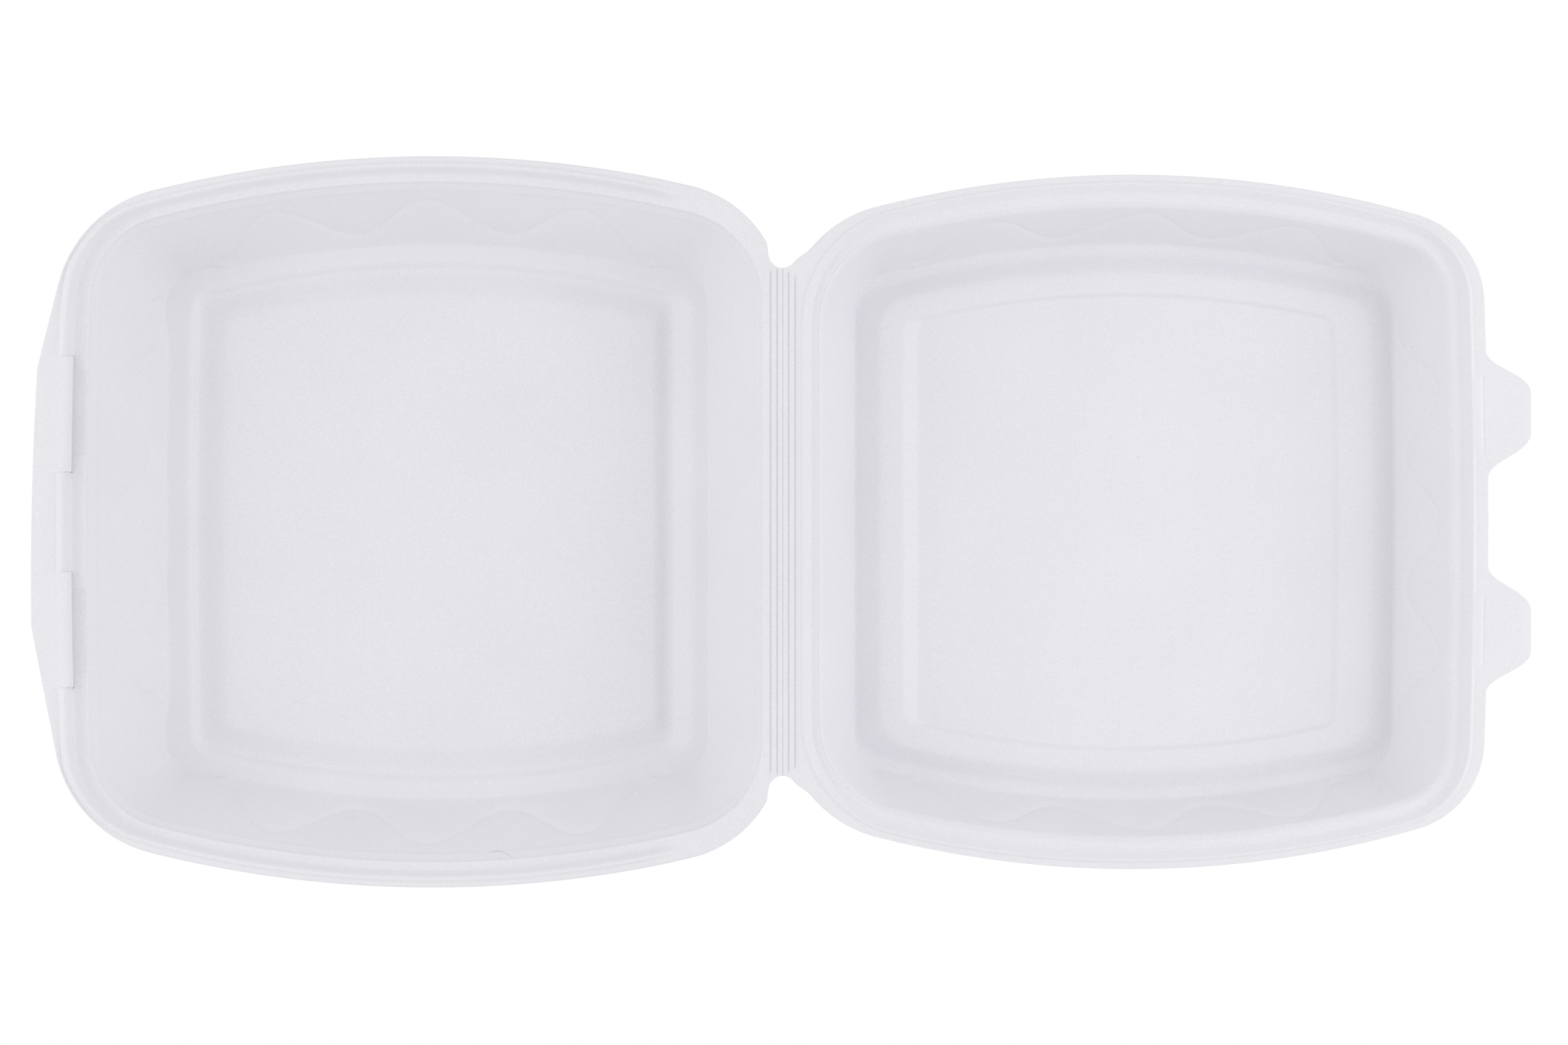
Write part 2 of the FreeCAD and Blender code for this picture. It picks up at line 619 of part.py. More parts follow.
def build_lid_shell():
    body = doc.addObject("PartDesign::Body", "lid_shell")
    under = -S["rim_sheet"]
    plan = lid_outline(body, "rim_plan", under, S["lid_front"], S["lid_side"],
                       S["fold_gap"] / 2, S["lid_corner"], S["lid_hinge_corner"])
    pad(body, "rim", plan, S["rim_sheet"])
    for name, side in (("left", -1), ("right", 1)):
        latch_tab(body, name, side)

    def bead(name, level, grow):
        inset = S["lid_side"] - S["bead_side"] - grow
        return lid_outline(body, name, level, S["bead_front"] + grow, S["bead_side"] + grow,
                           S["bead_hinge"] - grow * LID_HINGE_SHARE, S["lid_corner"] - inset,
                           S["lid_hinge_corner"] - inset)

    skin = S["wall_skin"]
    loft(body, "Additive", "bead", [
        bead("bead_base", under / 2, S["bead_width"] + S["bead_base_flank"]),
        bead("bead_top", S["bead_height"], S["bead_width"] - S["bead_top_flank"])])
    ledge_under = -(S["ledge_drop"] + S["ledge_foam"])
    wall_top = S["ledge_drop"] + S["lid_wall_round"]
    loft(body, "Additive", "ledge_skin", [
        bead("ledge_skin_rim", under / 2, skin / 2),
        bead("ledge_skin_base", ledge_under, skin / 2 - S["ledge_run"])])
    loft(body, "Additive", "wall_skin", lid_wall_sections(
        body, "skin", S["lid_wall_skin"], S["lid_wall_skin"], wall_top, S["valley_depth"] + S["foam"]))
    ledge_in = S["ledge_run"] + S["ledge_width"]
    loft(body, "Subtractive", "ledge", [
        bead("ledge_slope_top", S["bead_height"], S["bead_height"] / 2),
        bead("ledge_slope_foot", -S["ledge_drop"], -S["ledge_run"])])
    loft(body, "Subtractive", "cavity", [
        bead("ledge_edge", -S["ledge_drop"], -ledge_in)] + lid_wall_sections(
            body, "wall", ZERO, ZERO, wall_top, S["valley_depth"]))

    shelf_level = S["shelf_rise"] - S["valley_depth"]
    bow = S["shelf_bow"]
    loft(body, "Additive", "shelf", [
        lid_outline(body, "shelf_base", -(S["valley_depth"] + S["foam"] / 4),
                    S["valley_front"] - S["valley_width_front"],
                    S["valley_side"] - S["valley_width"],
                    S["valley_hinge"] + S["valley_width_front"],
                    S["shelf_corner"], S["shelf_corner"], bow),
        lid_outline(body, "shelf_edge", shelf_level, S["shelf_front"], S["shelf_side"],
                    S["shelf_hinge"], S["shelf_corner"], S["shelf_corner"], bow)])
    corner = S["recess_corner"]
    recess_level = shelf_level - S["recess_depth"]

    def recess(name, level, grow, hinge_grow):
        return lid_outline(body, name, level, S["recess_front"] + grow, S["recess_side"] + grow,
                           S["recess_hinge"] - hinge_grow, corner, corner, S["recess_bow"])

    loft(body, "Subtractive", "under_shelf", [
        lid_outline(body, "under_shelf_base", -(S["valley_depth"] + S["foam"]),
                    S["valley_front"] - S["valley_width_front"] - S["foam"] / 2,
                    S["valley_side"] - S["valley_width"] - S["foam"] / 2,
                    S["valley_hinge"] + S["valley_width_front"] + S["foam"] / 2,
                    S["shelf_corner"], S["shelf_corner"], bow),
        lid_outline(body, "under_shelf_top", shelf_level - S["foam"],
                    S["shelf_front"] - S["foam"] / 2, S["shelf_side"] - S["foam"] / 2,
                    S["shelf_hinge"] + S["foam"] / 2,
                    S["shelf_corner"], S["shelf_corner"], bow)])
    loft(body, "Additive", "under_recess", [
        recess("under_recess_top", shelf_level - S["foam"] / 2, S["foam"] / 2, S["foam"] / 2),
        recess("under_recess_base", recess_level - S["foam"],
               S["foam"] / 2 - S["recess_run"], S["foam"] / 2 - S["recess_run_hinge"])])
    loft(body, "Subtractive", "recess", [
        recess("recess_edge", shelf_level, ZERO, ZERO),
        recess("recess_base", recess_level, -S["recess_run"], -S["recess_run_hinge"])])
    hinge_strip(body)
    return body


def latch_tab(body, name, side):
    """A flat tab that widens to its root, with two round tip corners."""
    sketch = new_sketch(body, f"tab_{name}_plan", "XY_Plane", -S["rim_sheet"])
    root = S["lid_front"] - S["rim_sheet"] * 2
    tip, radius = S["tab_reach"], S["tab_corner"]
    virtual = [(root, S["tab_root_inner"] * side), (tip, S["tab_tip_inner"] * side),
               (tip, S["tab_tip_outer"] * side), (root, S["tab_root_outer"] * side)]
    corners = [FreeCAD.Vector(x.value, y.value, 0) for x, y in virtual]
    rounds = [tip_round(corners, i, radius.value) for i in (1, 2)]
    sketch.addGeometry(Part.LineSegment(corners[0], rounds[0][1]), False)
    sketch.addGeometry(Part.LineSegment(rounds[0][2], rounds[1][1]), False)
    sketch.addGeometry(Part.LineSegment(rounds[1][2], corners[3]), False)
    sketch.addGeometry(Part.LineSegment(corners[3], corners[0]), False)
    for centre, start, end in rounds:
        first, last = (start, end) if side > 0 else (end, start)
        sketch.addGeometry(arc(centre, radius.value, first, last), False)
    near, far = (1, 2) if side > 0 else (2, 1)
    sketch.addConstraint(Sketcher.Constraint("Tangent", 0, 2, 4, near))
    sketch.addConstraint(Sketcher.Constraint("Tangent", 4, far, 1, 1))
    sketch.addConstraint(Sketcher.Constraint("Tangent", 1, 2, 5, near))
    sketch.addConstraint(Sketcher.Constraint("Tangent", 5, far, 2, 1))
    sketch.addConstraint(Sketcher.Constraint("Coincident", 2, 2, 3, 1))
    sketch.addConstraint(Sketcher.Constraint("Coincident", 3, 2, 0, 1))
    bind_point(sketch, 0, 1, *virtual[0])
    bind_point(sketch, 3, 1, *virtual[3])
    for index in (4, 5):
        bind(sketch, "Radius", (index,), radius)
    for place, lines in ((1, (0, 1)), (2, (1, 2))):
        point = sketch.addGeometry(Part.Point(corners[place]), True)
        bind_point(sketch, point, 1, *virtual[place])
        for line in lines:
            sketch.addConstraint(Sketcher.Constraint("PointOnObject", point, 1, line))
    pad(body, f"tab_{name}", sketch, S["rim_sheet"])


def tip_round(corners, index, radius):
    """Centre, start and end of the arc that rounds one corner of a path."""
    before, here, after = corners[index - 1], corners[index], corners[index + 1]
    back, ahead = (before - here).normalize(), (after - here).normalize()
    half_angle = back.getAngle(ahead) / 2
    run = radius / math.tan(half_angle)
    middle = (back + ahead).normalize()
    return here + middle * (radius / math.sin(half_angle)), here + back * run, here + ahead * run


def wave_prism(name, along, across, middle, pitch, foot, height):
    """A solid under a line of three humps that start and end at the foot of a wall."""
    crest = foot + height * S["wave_crest"].value
    trough = foot + height * S["wave_trough"].value
    places = [(-1.5, foot), (-1, crest), (-0.5, trough), (0, crest),
              (0.5, trough), (1, crest), (1.5, foot)]
    points = [along * (middle + place * pitch) + FreeCAD.Vector(0, 0, z) for place, z in places]
    curve = Part.BSplineCurve()
    curve.interpolate(points)
    below = FreeCAD.Vector(0, 0, -S["foam"].value)
    path = [points[-1], points[-1] + below, points[0] + below, points[0]]
    edges = [curve.toShape()] + [Part.LineSegment(a, b).toShape() for a, b in zip(path, path[1:])]
    face = Part.Face(Part.Wire(edges))
    face.translate(across[0])
    solid = doc.addObject("Part::Feature", name)
    solid.Shape = face.extrude(across[1])
    return solid


def wave_relief(prefix, wall_sections, apex, wall_drop, depth, front, half):
    """The raised lower part of three walls: a thin skin on them, kept only under the waves."""
    skin = doc.addObject("PartDesign::Body", prefix + "_wave_skin")
    embed = S["foam"] / 4
    loft(skin, "Additive", "outside", wall_sections(skin, "outside", embed, embed))
    loft(skin, "Subtractive", "inside", wall_sections(skin, "inside", -S["wave_relief"], ZERO))
    x_axis, y_axis = FreeCAD.Vector(1, 0, 0), FreeCAD.Vector(0, 1, 0)
    height = depth.value - wall_drop.value
    reach = half.value * 2
    side = wave_prism(prefix + "_side_wave", x_axis, (y_axis * -reach, y_axis * reach * 2),
                      apex.value, S["wave_pitch_side"].value, -depth.value, height)
    start = front.value - S["wave_pitch_front"].value / 2
    nose = wave_prism(prefix + "_front_wave", y_axis,
                      (x_axis * start, x_axis * S["wave_pitch_front"].value * 2),
                      0, S["wave_pitch_front"].value, -depth.value, height)
    waves = []
    for name, prism in (("side", side), ("front", nose)):
        common = doc.addObject("Part::MultiCommon", f"{prefix}_{name}_relief")
        common.Shapes = [skin, prism]
        waves.append(common)
    return waves


def assemble(name, pieces, placement):
    whole = doc.addObject("Part::MultiFuse", name)
    whole.Label = name
    whole.Shapes = pieces
    whole.Refine = False
    whole.Placement = placement
    return whole


tray_shell = build_tray_shell()
lid_shell = build_lid_shell()
embed_depth = S["foam"] / 4
tray_waves = wave_relief(
    "tray", lambda body, prefix, grow, hinge_grow: tray_wall_sections(
        body, prefix, grow, hinge_grow, S["tray_ring_depth"] + embed_depth),
    S["rim_apex"], S["tray_wall_drop"], S["tray_ring_depth"], S["tray_ring_front"],
    S["tray_wall_side"])
lid_wall_drop = S["ledge_drop"] + S["lid_wall_round"]
lid_waves = wave_relief(
    "lid", lambda body, prefix, grow, hinge_grow: lid_wall_sections(
        body, prefix, grow, hinge_grow, lid_wall_drop, S["valley_depth"] + embed_depth),
    S["lid_apex"], lid_wall_drop, S["valley_depth"], S["valley_front"], S["lid_side"])

# The tray stands on the table. The lid turns down about the fold until its far edge touches it.
rim_height = (S["tray_ring_depth"] + S["channel_depth"] + S["foam"]).value
axis_height = rim_height + S["fold_lift"].value
lid_foot_reach = (S["valley_front"] + S["foam"] * 1.14 * 1.05).value
lid_foot_drop = (S["valley_depth"] + S["foam"] + S["fold_lift"]).value
lid_lean = math.degrees(math.asin(axis_height / math.hypot(lid_foot_reach, lid_foot_drop))
                        - math.atan2(lid_foot_drop, lid_foot_reach))
UP = FreeCAD.Vector(0, 0, 1)
tray_place = FreeCAD.Placement(UP * rim_height, FreeCAD.Rotation(UP, 180))
lean = FreeCAD.Placement(FreeCAD.Vector(), FreeCAD.Rotation(FreeCAD.Vector(0, 1, 0), lid_lean),
                         UP * axis_height)
lid_place = lean * FreeCAD.Placement(UP * rim_height, FreeCAD.Rotation())
tray = assemble("tray", [tray_shell] + tray_waves, tray_place)
lid = assemble("lid", [lid_shell] + lid_waves, lid_place)
doc.recompute()

for thing in doc.Objects:
    if "Invalid" in thing.State or "Error" in thing.State:
        raise RuntimeError(f"{thing.Label}: {thing.State}")
for node in (tray, lid):
    shape = node.Shape
    if shape.isNull() or not shape.isValid() or len(shape.Solids) != 1:
        raise RuntimeError(f"{node.Label} is not one sound solid")
print(f"lid lean {lid_lean:.3f} degrees, fold axis {axis_height:.2f} mm up")
os.makedirs("parts", exist_ok=True)
for node in (tray, lid):
    node.Shape.exportStep(f"parts/{node.Label}.step")
    box = node.Shape.BoundBox
    print(node.Label, round(node.Shape.Volume), "mm3", box)
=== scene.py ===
import json
import math

import bmesh
import bpy
import numpy as np
from mathutils import Matrix, Vector


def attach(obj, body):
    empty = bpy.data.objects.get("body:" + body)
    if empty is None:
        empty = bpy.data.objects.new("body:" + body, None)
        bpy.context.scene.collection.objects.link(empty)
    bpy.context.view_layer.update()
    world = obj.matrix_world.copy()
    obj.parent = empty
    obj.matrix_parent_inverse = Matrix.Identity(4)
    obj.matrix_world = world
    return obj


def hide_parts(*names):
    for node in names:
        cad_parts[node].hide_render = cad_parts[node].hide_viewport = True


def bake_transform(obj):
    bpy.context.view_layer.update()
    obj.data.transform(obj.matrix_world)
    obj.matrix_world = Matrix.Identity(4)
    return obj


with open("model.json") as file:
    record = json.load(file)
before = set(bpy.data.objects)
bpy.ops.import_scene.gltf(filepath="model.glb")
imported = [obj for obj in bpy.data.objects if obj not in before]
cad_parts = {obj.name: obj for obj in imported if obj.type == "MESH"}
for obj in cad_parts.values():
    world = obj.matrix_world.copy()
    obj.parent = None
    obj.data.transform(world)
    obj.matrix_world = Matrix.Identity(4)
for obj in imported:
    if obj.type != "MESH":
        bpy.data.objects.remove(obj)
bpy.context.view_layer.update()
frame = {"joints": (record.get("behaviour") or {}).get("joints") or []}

# Lengths are in millimetres from the fold, with the rim at height zero, until a mesh is made.
MM = 0.001
RIM_SHEET = 1.3
HALF_GAP = 0.15
FOLD_LIFT = 0.15
FRONT_BOW = 2000.0
FOLD = next(joint for joint in frame["joints"] if joint["name"] == "lid_fold")
FOLD_HEIGHT = FOLD["pos_m"][2]
RIM_HEIGHT = FOLD_HEIGHT - FOLD_LIFT * MM
LID_LEAN = math.radians(FOLD["range_deg"][1] - 180.0)

STRIP_HALF = 81.6
NOTCH_RADIUS = 4.6
WEB_WIDTH, WEB_THICKNESS, WEB_MIDDLE = 1.6, 0.98, -0.78
LID_FRONT = 227.6

# Places along the front edge, from the middle outwards, where the meshes have a column.
SLIT_INNER, SLIT_OUTER = 16.2, 53.0
TAB_ROOT_INNER, TAB_ROOT_OUTER = 16.9, 52.2
TAB_TIP_INNER, TAB_TIP_OUTER = 25.4, 44.6
TAB_REACH, TAB_CORNER, TAB_FILLET = 241.4, 5.3, 4.4
FRONT_END = 56.5
FRONT_PLACES = np.unique(np.round(np.concatenate([
    [0.0, 4.0, 8.0, 12.0, 13.3, 14.3, 15.1, SLIT_INNER - 0.4, SLIT_INNER, TAB_ROOT_INNER],
    np.linspace(17.4, 29.0, 24), np.linspace(31.0, 39.0, 5),
    np.linspace(40.6, TAB_ROOT_OUTER, 25),
    [SLIT_OUTER, SLIT_OUTER + 0.4, 54.3, 55.3, FRONT_END]]), 3))
SIDE_COLUMNS = 96
CORNER_COLUMNS = 14
HINGE_COLUMNS = 9
STRIP_COLUMNS, NOTCH_COLUMNS, HINGE_CORNER_COLUMNS = 5, 13, 12
HINGE_CORNER_TURNS = np.concatenate([
    np.linspace(0.0, 0.27, STRIP_COLUMNS), np.linspace(0.29, 0.46, NOTCH_COLUMNS),
    np.linspace(0.5, 1.0, HINGE_CORNER_COLUMNS)])


class Outline:
    """A bowed front and sides, a straight hinge side and round corners, as a designer draws it."""

    def __init__(self, front, half, hinge, apex, bow, corner, hinge_corner):
        self.front, self.half, self.hinge = front, half, hinge
        self.apex, self.bow = apex, bow
        self.corner, self.hinge_corner = corner, hinge_corner

    def points(self, side=1):
        """Points from the middle of the fold to the middle of the front, on the +Y half."""
        centre = np.array([self.apex, self.half - self.bow])
        nose = np.array([self.front - FRONT_BOW, 0.0])
        turn_x = self.hinge + self.hinge_corner
        turn_y = centre[1] + math.sqrt((self.bow - self.hinge_corner) ** 2
                                       - (turn_x - self.apex) ** 2)
        outer = circles_meet(centre, self.bow - self.corner, nose, FRONT_BOW - self.corner)
        hinge = [np.array([self.hinge, y])
                 for y in np.linspace(0.0, turn_y, HINGE_COLUMNS, endpoint=False)]
        inner = np.array([turn_x, turn_y])
        start = math.atan2(*(inner - centre)[::-1])
        self.inner, self.inner_turn = inner, math.pi - start
        hinge_turn = [inner + self.hinge_corner * unit(math.pi - a * self.inner_turn)
                      for a in HINGE_CORNER_TURNS]
        finish = math.atan2(*(outer - centre)[::-1])
        sides = [centre + self.bow * unit(a)
                 for a in np.linspace(start, finish, SIDE_COLUMNS + 1)[1:]]
        stop = math.atan2(*(outer - nose)[::-1])
        turn = [outer + self.corner * unit(a)
                for a in np.linspace(finish, stop, CORNER_COLUMNS + 1)[1:]]
        last = turn[-1][1]
        run = [last + (FRONT_END - last) * share for share in (0.2, 0.4, 0.6, 0.8)]
        run += list(FRONT_PLACES[::-1])
        front = [self.front_point(y, side) for y in run]
        return np.array(hinge + hinge_turn + sides + turn + front)

    def front_point(self, y, side):
        return np.array([self.front - FRONT_BOW + math.sqrt(FRONT_BOW ** 2 - y * y), y])

    def loop(self):
        """The whole closed outline, +Y half first."""
        upper, lower = self.points(1), self.points(-1)[1:-1][::-1]
        return np.vstack([upper, lower * [1, -1]])


class TrayRim(Outline):
    """The tray's outer edge, whose front is an apron trimmed slightly askew."""

    BOW = 1100.0
    KINKS = {-1: (239.1, 49.6, math.radians(14.0)), 1: (241.1, 33.7, math.radians(11.0))}

    def points(self, side=1):
        points = super().points(side)
        reach, kink_y, slant = self.KINKS[side]
        centre = np.array([self.apex, self.half - self.bow])
        inward = -unit(slant)
        run = np.array([-math.sin(slant), math.cos(slant)])
        start = np.array([reach, kink_y]) + inward * self.corner - centre
        along = start @ run
        travel = -along + math.sqrt(along ** 2 - start @ start + (self.bow - self.corner) ** 2)
        outer = centre + start + run * travel
        finish = math.atan2(*(outer - centre)[::-1])
        first = HINGE_COLUMNS + len(HINGE_CORNER_TURNS)
        begin = math.atan2(*(points[first - 1] - centre)[::-1])
        turns = np.linspace(begin, finish, SIDE_COLUMNS + 1)[1:]
        points[first:first + SIDE_COLUMNS] = [centre + self.bow * unit(a) for a in turns]
        second = first + SIDE_COLUMNS
        turns = np.linspace(finish, slant, CORNER_COLUMNS + 1)[1:]
        points[second:second + CORNER_COLUMNS] = [outer + self.corner * unit(a) for a in turns]
        third = second + CORNER_COLUMNS
        last = points[third - 1][1]
        run = [last + (FRONT_END - last) * share for share in (0.2, 0.4, 0.6, 0.8)]
        for i, y in enumerate(run):
            points[third + i] = self.front_point(y, side)
        return notched(self, points)

    def front_point(self, y, side):
        """The apron's edge: an arc between two kinks, and a straight slant past each."""
        (left, left_y, _), (right, right_y, _) = self.KINKS[-1], self.KINKS[1]
        reach, kink_y, slant = self.KINKS[side]
        if y > kink_y:
            return np.array([reach - (y - kink_y) * math.tan(slant), y])
        place = y * side
        share = (place + left_y) / (left_y + right_y)
        half_chord = (left_y + right_y) / 2
        off = place - (right_y - left_y) / 2
        bulge = (half_chord ** 2 - off ** 2) / (2 * self.BOW)
        return np.array([left + (right - left) * share + bulge, y])


def notched(outline, points):
    """Fills the corner beside the fold out to the hinge strip, and cuts the round notch at its end."""
    notch = np.array([0.0, STRIP_HALF + NOTCH_RADIUS])
    first = HINGE_COLUMNS
    second = first + STRIP_COLUMNS
    third = second + NOTCH_COLUMNS
    last = third + HINGE_CORNER_COLUMNS
    turned = [inner_point(outline, a) for a in np.linspace(0.1, 1.0, 400)]
    meeting = next(i for i, p in enumerate(turned)
                   if p[1] > notch[1] and np.linalg.norm(p - notch) > NOTCH_RADIUS)
    meeting_turn = np.linspace(0.1, 1.0, 400)[meeting]
    reach = turned[meeting] - notch
    strip = np.linspace(points[first - 1][1], STRIP_HALF - 0.3, STRIP_COLUMNS)[1:]
    for i, y in enumerate([*strip, STRIP_HALF - 0.15]):
        points[first + i] = (HALF_GAP, y)
    begin = -math.acos(HALF_GAP / NOTCH_RADIUS)
    for i, a in enumerate(np.linspace(begin, math.atan2(reach[1], reach[0]), NOTCH_COLUMNS)):
        points[second + i] = notch + NOTCH_RADIUS * unit(a)
    for i, a in enumerate(np.linspace(meeting_turn, 1.0, HINGE_CORNER_COLUMNS + 1)[1:]):
        points[third + i] = inner_point(outline, a)
    bridge = curve_between(points[third - 6], notch, points[third], outline.inner)
    points[third - 5:third] = bridge
    return points


def curve_between(start, notch, finish, inner, count=5):
    """Points on a smooth curve that leaves the notch's arc and runs into the corner's arc."""
    leave = np.array([notch[1] - start[1], start[0] - notch[0]])
    arrive = np.array([finish[1] - inner[1], inner[0] - finish[0]])
    third = np.linalg.norm(finish - start) / 3
    first = start + leave / np.linalg.norm(leave) * third
    second = finish - arrive / np.linalg.norm(arrive) * third
    shares = np.linspace(0.0, 1.0, count + 2)[1:-1, None]
    return ((1 - shares) ** 3 * start + 3 * (1 - shares) ** 2 * shares * first
            + 3 * (1 - shares) * shares ** 2 * second + shares ** 3 * finish)


def inner_point(outline, share):
    """A point on the corner beside the fold."""
    return outline.inner + outline.hinge_corner * unit(math.pi - share * outline.inner_turn)


class LidRim(Outline):
    """The lid's outer edge, with two latch tabs that stand out of its front."""

    def points(self, side=1):
        return notched(self, super().points(side))

    def front_point(self, y, side):
        point = super().front_point(y, side)
        point[0] = -soft_least(-point[0], -tab_edge(y), TAB_FILLET)
        return point


def tab_edge(y):
    """How far a latch tab reaches at a place along the front."""
    root = LID_FRONT
    rise = [(TAB_REACH - root) / (TAB_TIP_INNER - TAB_ROOT_INNER),
            (TAB_REACH - root) / (TAB_ROOT_OUTER - TAB_TIP_OUTER)]
    flanks = [root + (y - TAB_ROOT_INNER) * rise[0], root + (TAB_ROOT_OUTER - y) * rise[1]]
    return soft_least(soft_least(flanks[0], TAB_REACH, TAB_CORNER),
                      soft_least(flanks[1], TAB_REACH, TAB_CORNER), 0.1)


def soft_least(a, b, width):
    """The smaller of two values, with a round change between them."""
    share = min(max(0.5 + 0.5 * (b - a) / width, 0.0), 1.0)
    return b * (1 - share) + a * share - width * share * (1 - share)


def unit(angle):
    return np.array([math.cos(angle), math.sin(angle)])


def circles_meet(a, reach_a, b, reach_b):
    gap = b - a
    length = np.linalg.norm(gap)
    along = (reach_a ** 2 - reach_b ** 2 + length ** 2) / (2 * length)
    across = math.sqrt(reach_a ** 2 - along ** 2)
    turned = np.array([-gap[1], gap[0]]) / length * across
    foot = a + gap / length * along
    return max((foot + turned, foot - turned), key=lambda point: point.sum())


def ring(outline, height):
    """A loop of points in space."""
    loop = outline if isinstance(outline, np.ndarray) else outline.loop()
    return np.column_stack([loop[:, 0], loop[:, 1], np.broadcast_to(height, len(loop))])


def rounded(rings, radii, steps=3):
    """The same stack of rings with each edge between them rounded by its radius."""
    out = [rings[0]]
    for before, here, after, radius in zip(rings, rings[1:], rings[2:], radii[1:]):
        if radius <= 0:
            out.append(here)
            continue
        back, ahead = before - here, after - here
        back_length = np.linalg.norm(back, axis=1, keepdims=True)
        ahead_length = np.linalg.norm(ahead, axis=1, keepdims=True)
        reach = np.minimum(radius, 0.45 * np.minimum(back_length, ahead_length))
        first = here + back / np.maximum(back_length, 1e-6) * reach
        last = here + ahead / np.maximum(ahead_length, 1e-6) * reach
        for share in np.linspace(0.0, 1.0, steps):
            out.append((1 - share) ** 2 * first + 2 * share * (1 - share) * here
                       + share ** 2 * last)
    out.append(rings[-1])
    return out


def smooth(low, high, value):
    share = np.clip((value - low) / (high - low), 0.0, 1.0)
    return share * share * (3 - 2 * share)


def grown(outline, by, hinge_by=None):
    """The same outline moved outwards, or inwards where the length is negative."""
    hinge_by = by if hinge_by is None else hinge_by
    return Outline(outline.front + by, outline.half + by, outline.hinge - hinge_by,
                   outline.apex, outline.bow, outline.corner + by, outline.hinge_corner + by)


class Half:
    """One half of the container while its rings are laid out, from the rim to the middle."""

    def __init__(self, rim, seat):
        self.rim, self.seat = ring(rim, 0.0), ring(seat, 0.0)
        run = self.rim - self.seat
        self.width = np.linalg.norm(run, axis=1)
        self.out = run / self.width[:, None]
        self.count = len(self.rim)
        along = np.roll(self.seat, -1, axis=0) - np.roll(self.seat, 1, axis=0)
        self.facing = np.column_stack([-along[:, 1], along[:, 0]])
        self.facing /= np.linalg.norm(self.facing, axis=1, keepdims=True)
        front = smooth(0.3, 0.9, self.facing[:, 0])
        near = (self.out[:, 0] < 0.3) & (self.rim[:, 0] < 40)
        fold = np.where(near, 1 - smooth(81.8, 84.2, np.abs(self.rim[:, 1])), 0.0)
        end = 1 - smooth(STRIP_HALF - 0.3, STRIP_HALF - 0.05, np.abs(self.rim[:, 1]))
        self.groove = np.where(near, end, 0.0)
        self.share = {"front": front, "fold": fold, "side": 1 - front - fold}

    def rim_rings(self, rows, lift, spare):
        """Rings over the rim sheet. Rows give distances outside the seat, or from the fold."""
        sides = {key: self.share[key] for key in ("side", "front")}
        fold = self.share["fold"][:, None]
        whole = np.maximum(1 - fold[:, 0], 1e-3)
        widest = sum(share * max(row[key][0] for row in rows) for key, share in sides.items())
        room = np.minimum(1.0, (self.width - spare) / np.maximum(widest / whole, 1e-3))
        rings = []
        for step, row in enumerate(rows):
            reach = sum(share * row[key][0] for key, share in sides.items()) * room
            beside = self.seat + self.out * (reach / whole)[:, None]
            across = (self.seat[:, 0] - row["fold"][0]) / (self.seat[:, 0] - self.rim[:, 0])
            across = np.clip(across, 0.0, 0.6 + 0.38 * step / len(rows))
            place = lerp(beside, lerp(self.seat, self.rim, across[:, None]), fold)
            place[:, 2] = sum(share * row[key][1] * lift for key, share in sides.items())
            place[:, 2] += self.groove * row["fold"][1]
            rings.append(place)
        return rings


# The waves in the walls: their lengths in mm, and their heights as shares of the wall.
WAVE_PITCH_SIDE, WAVE_PITCH_FRONT = 48.0, 42.6
WAVE_CREST, WAVE_TROUGH, WAVE_FOOT = 0.83, 0.20, 0.1
# Down the wall past the wave's line: a soft crease, as distances in bands and depths in mm.
WAVE_CREASE = [(1.1, 0.0), (0.6, -0.07), (0.1, -0.25), (-0.3, -0.3), (-0.8, -0.2),
               (-1.5, -0.06), (-2.2, 0.0)]


def wave_line(half, apex, foot):
    """How high up the wall the wave runs at each column, and how strong its step is."""
    line = np.full(len(half.seat), WAVE_FOOT)
    strength = np.zeros(len(half.seat))
    on_front = half.facing[:, 0] > 0.8
    on_side = np.abs(half.facing[:, 1]) > 0.8
    middle, swing = (WAVE_CREST + WAVE_TROUGH) / 2, (WAVE_CREST - WAVE_TROUGH) / 2
    for where, place, pitch in ((on_side, foot[:, 0] - apex, WAVE_PITCH_SIDE),
                                (on_front, foot[:, 1], WAVE_PITCH_FRONT)):
        phase = np.abs(place) / pitch
        inner = middle + swing * np.cos(2 * math.pi * phase)
        outer = WAVE_CREST * 0.5 * (1 + np.cos(2 * math.pi * (phase - 1)))
        height = np.where(phase <= 1, inner, outer)
        near = where & (phase < 1.5)
        line[near] = np.maximum(height[near], WAVE_FOOT)
        strength[near] = 1 - smooth(1.44, 1.5, phase[near])
    return line, strength


def wall_rings(top, foot, line, strength, relief=1.2):
    """Rings down a wall. They follow the wave, and the wall below it leans in by the relief."""
    band = np.minimum(0.05, line / 2.6)
    run = top - foot
    inward = np.column_stack([-run[:, 0], -run[:, 1], np.zeros(len(run))])
    inward /= np.linalg.norm(inward, axis=1, keepdims=True)
    rings = []
    for share in (0.94, 0.75, 0.5, 0.25):
        above = line + band * 1.1
        rings.append(foot + run * (above + (1 - above) * share)[:, None])
    lines = [(line + band * offset, depth) for offset, depth in WAVE_CREASE]
    lines += [((line - band * 2.2) * share, 0.0) for share in (0.75, 0.5, 0.25, 0.0)]
    for height, depth in lines:
        lean = relief * np.clip(1 - height / line, 0.0, 1.0) ** 0.8 + depth
        rings.append(foot + run * height[:, None] + inward * (lean * strength)[:, None])
    return rings


